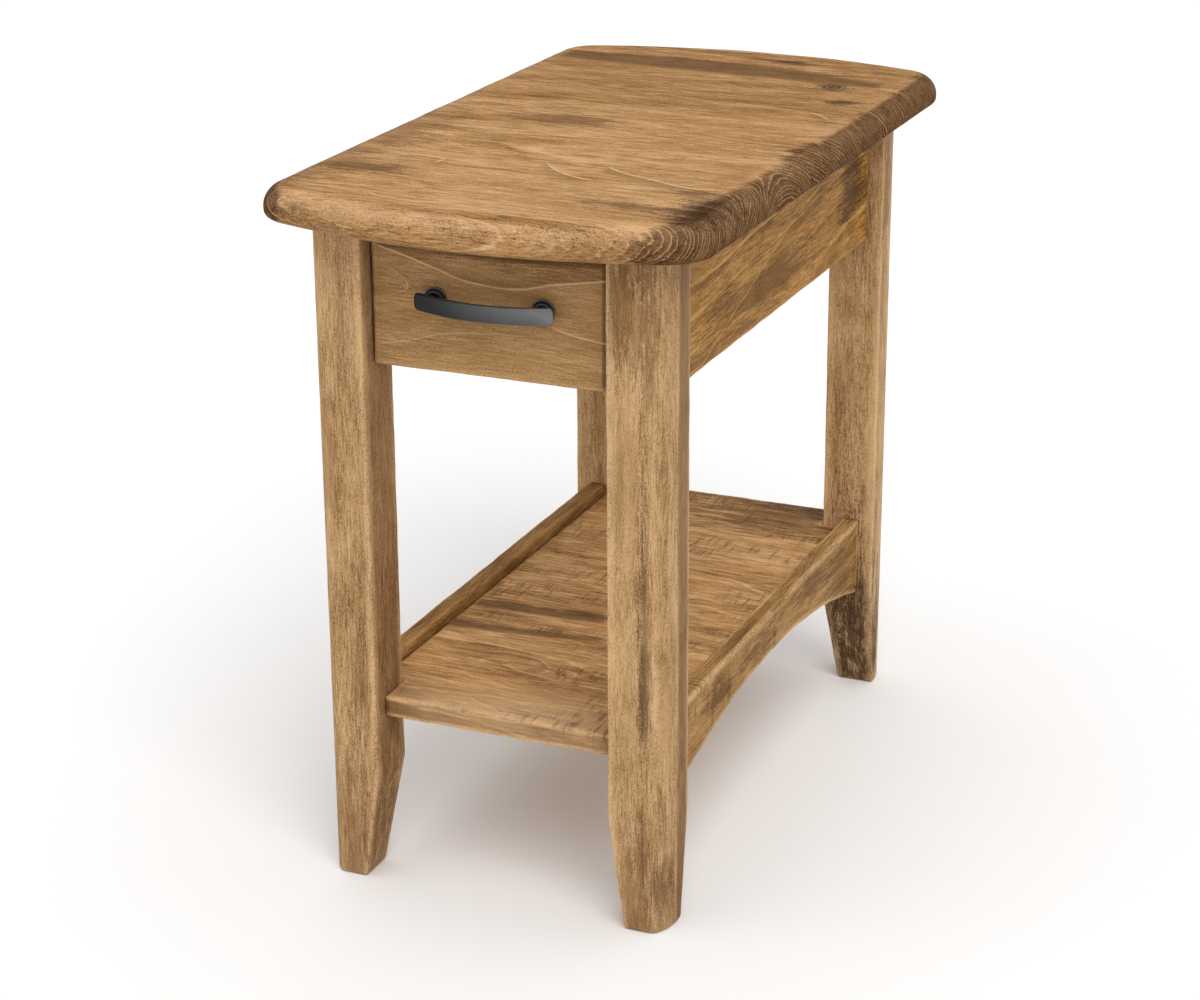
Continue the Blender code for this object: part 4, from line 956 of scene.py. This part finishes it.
# ================================================================= the pull
def make_pull():
    lo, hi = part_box("pull_handle")
    face_y = front_lo.y
    half = hi.x
    mid_z = 0.5335
    bar_h, bar_t, out_end, out_mid = 0.0145, 0.0042, 0.0125, 0.0265
    stations = 96
    verts, wear_and_highlight, rings = [], [], []
    for k in range(stations + 1):
        s = -1 + 2 * k / stations
        # finer towards the ends, where the corners are rounded
        s = math.sin(s * math.pi / 2) * 0.35 + s * 0.65
        x = s * half
        out = out_end + (out_mid - out_end) * (1 - s * s)
        slope = -2 * (out_mid - out_end) * s / half
        along = Vector((1, -slope, 0)).normalized()
        back = Vector((-along.y, along.x, 0))
        if back.y < 0:
            back.negate()
        near_end = (half - abs(x)) / 0.0030
        squeeze = 1.0 if near_end >= 1 else math.sqrt(max(0.0, 1 - (1 - near_end) ** 2)) * 0.34 + 0.66
        h, d = bar_h / 2 * squeeze, bar_t
        c = 0.00115
        ring = []
        for cx, cz, a0 in ((c, -h + c, 180), (d - c, -h + c, 270), (d - c, h - c, 0), (c, h - c, 90)):
            for j in range(6):
                a = math.radians(a0 + 90 * j / 5)
                ring.append((cx + c * math.cos(a), cz + c * math.sin(a)))
        # a faint crown on the face of the strap
        for dep, v in ring:
            crown = 0.00035 * (1 - (v / h) ** 2) if dep < d / 2 else 0.0
            p = Vector((x, face_y - out, mid_z)) + back * max(0.0, dep + (0.00035 - crown) * (dep < d / 2)) + Vector((0, 0, v))
            verts.append(p)
            # weight of the painted highlight along the upper and lower arrises of the strap
            wear_and_highlight.append(1.0 if c * 0.2 < min(dep, d - dep) < c and abs(v) > h - c else 0.0)
        rings.append(ring)
    faces = loft(rings)
    base = len(verts)
    # the two posts
    for sx in (-1, 1):
        x = sx * 0.048
        out = out_end + (out_mid - out_end) * (1 - (0.048 / half) ** 2)
        start = len(verts)
        profile = [(GAP, 0.0), (GAP, 0.0038), (GAP + 0.0004, 0.0042), (0.0036, 0.0042), (0.0046, 0.0040),
                   (0.0060, 0.0040), (out - 0.0035, 0.0040), (out - 0.0026, 0.0044), (out - 0.0022, 0.0044), (out - 0.0022, 0.0)]
        n = 32
        for along_y, r in profile:
            for k in range(n):
                a = 2 * math.pi * k / n
                verts.append(Vector((x + max(r, 1e-5) * math.cos(a), face_y - along_y, mid_z + max(r, 1e-5) * math.sin(a))))
                wear_and_highlight.append(0.0)
        for f in loft([range(n)] * len(profile)):
            faces.append(tuple(start + i for i in f))
    obj = piece("pull_strap", verts, faces, wear_and_highlight, pull_mat, DRAWER, ["pull_handle"], weighted=False)
    for poly in obj.data.polygons:
        poly.use_smooth = True
    obj.data.set_sharp_from_angle(angle=math.radians(50))
    return obj


make_pull()


def turned(name, profile, centre, mat, body, nodes, n=56):
    """A turned piece with its axis along -Y. profile is (distance out, radius, weight of wear and painted highlight).
    """
    verts, wear_and_highlight = [], []
    for out, r, w in profile:
        for k in range(n):
            a = 2 * math.pi * k / n
            verts.append(Vector((centre[0] + r * math.cos(a), centre[1] - out, centre[2] + r * math.sin(a))))
            wear_and_highlight.append(w)
    obj = piece(name, verts, loft([range(n)] * len(profile)), wear_and_highlight, mat, body, nodes, weighted=False)
    obj.data.set_sharp_from_angle(angle=math.radians(40))
    return obj


for lr, sx in (("left", -1), ("right", 1)):
    lo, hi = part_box("pull_rosette_" + lr)
    big = (hi.x - lo.x) / 2
    profile = [(0.0, 0.0047, 0), (0.0, big, 0), (0.0003, big, 0.3), (0.0010, big, 1.0), (0.0013, big - 0.0003, 1.0),
               (0.0014, big - 0.0011, 0.2), (0.0014, big - 0.0017, 0.0), (0.0018, big - 0.0020, 0.2)]
    for k in range(9):
        a = math.pi / 2 * k / 8
        profile.append((0.0018 + 0.0015 * math.sin(a), 0.0047 + (big - 0.0022 - 0.0047) * math.cos(a) ** 0.8 if k < 8 else 0.0047, 0.4 * math.sin(2 * a)))
    turned("rosette_" + lr, profile, (sx * 0.048, hi.y, 0.5335), rose_mat, DRAWER, ["pull_rosette_" + lr])

# ================================================================= materials for the CAD nodes that stay
for name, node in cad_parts.items():
    if node.hide_render:
        continue
    if "screw" in name:
        mat = screw_mat
    elif "slide_spacer" in name or "block" in name or "cleat" in name:
        mat = block_mat
    elif "slide_" in name or "clip" in name:
        mat = zinc_mat
    elif name == "drawer_bottom":
        mat = bottom_mat
    elif name in ("drawer_back", "drawer_box_front"):
        mat = box_cross_mat
    elif name.startswith("drawer_side"):
        mat = box_mat
    else:
        mat = flat_mat
    node.data.materials.clear()
    node.data.materials.append(mat)

# ================================================================= floor and light
floor_mesh = bpy.data.meshes.new("floor")
floor_mesh.from_pydata([(-14, -14, 0), (14, -14, 0), (14, 14, 0), (-14, 14, 0)], [], [(0, 1, 2, 3)])
floor = bpy.data.objects.new("floor", floor_mesh)
floor.location.z = -0.0002
scene.collection.objects.link(floor)
ft = Tree("pale floor")
fn = ft.noise(ft.coords.outputs["Object"], 3.0, 0.5, scale=1.3)
ft.link(ft.mix(fn, (0.885, 0.885, 0.89), (0.905, 0.905, 0.91)), ft.shader.inputs["Base Color"])
ft.shader.inputs["Roughness"].default_value = 0.85
ft.shader.inputs["Specular IOR Level"].default_value = 0.15
floor_mesh.materials.append(ft.mat)

world = bpy.data.worlds.new("studio")
scene.world = world
world.use_nodes = True
world.node_tree.nodes["Background"].inputs["Color"].default_value = (1.0, 1.0, 1.0, 1.0)
world.node_tree.nodes["Background"].inputs["Strength"].default_value = 0.66


def sun(name, towards, strength, spread, colour=(1.0, 1.0, 1.0)):
    """A broad soft lamp far away; towards is the direction it is seen in from the table."""
    data = bpy.data.lights.new(name, "SUN")
    data.energy = strength
    data.angle = math.radians(spread)
    data.color = colour
    lamp = bpy.data.objects.new(name, data)
    lamp.rotation_mode = "QUATERNION"
    lamp.rotation_quaternion = Vector(towards).to_track_quat("Z", "Y")
    lamp.location = Vector(towards).normalized() * 4
    scene.collection.objects.link(lamp)
    return lamp


sun("key", (1.2, -1.5, 2.1), 1.35, 40.0, (1.0, 0.985, 0.96))
sun("fill", (-1.6, -1.6, 1.1), 0.30, 60.0, (0.98, 0.99, 1.0))
sun("overhead", (0.1, 0.5, 3.0), 0.62, 70.0)
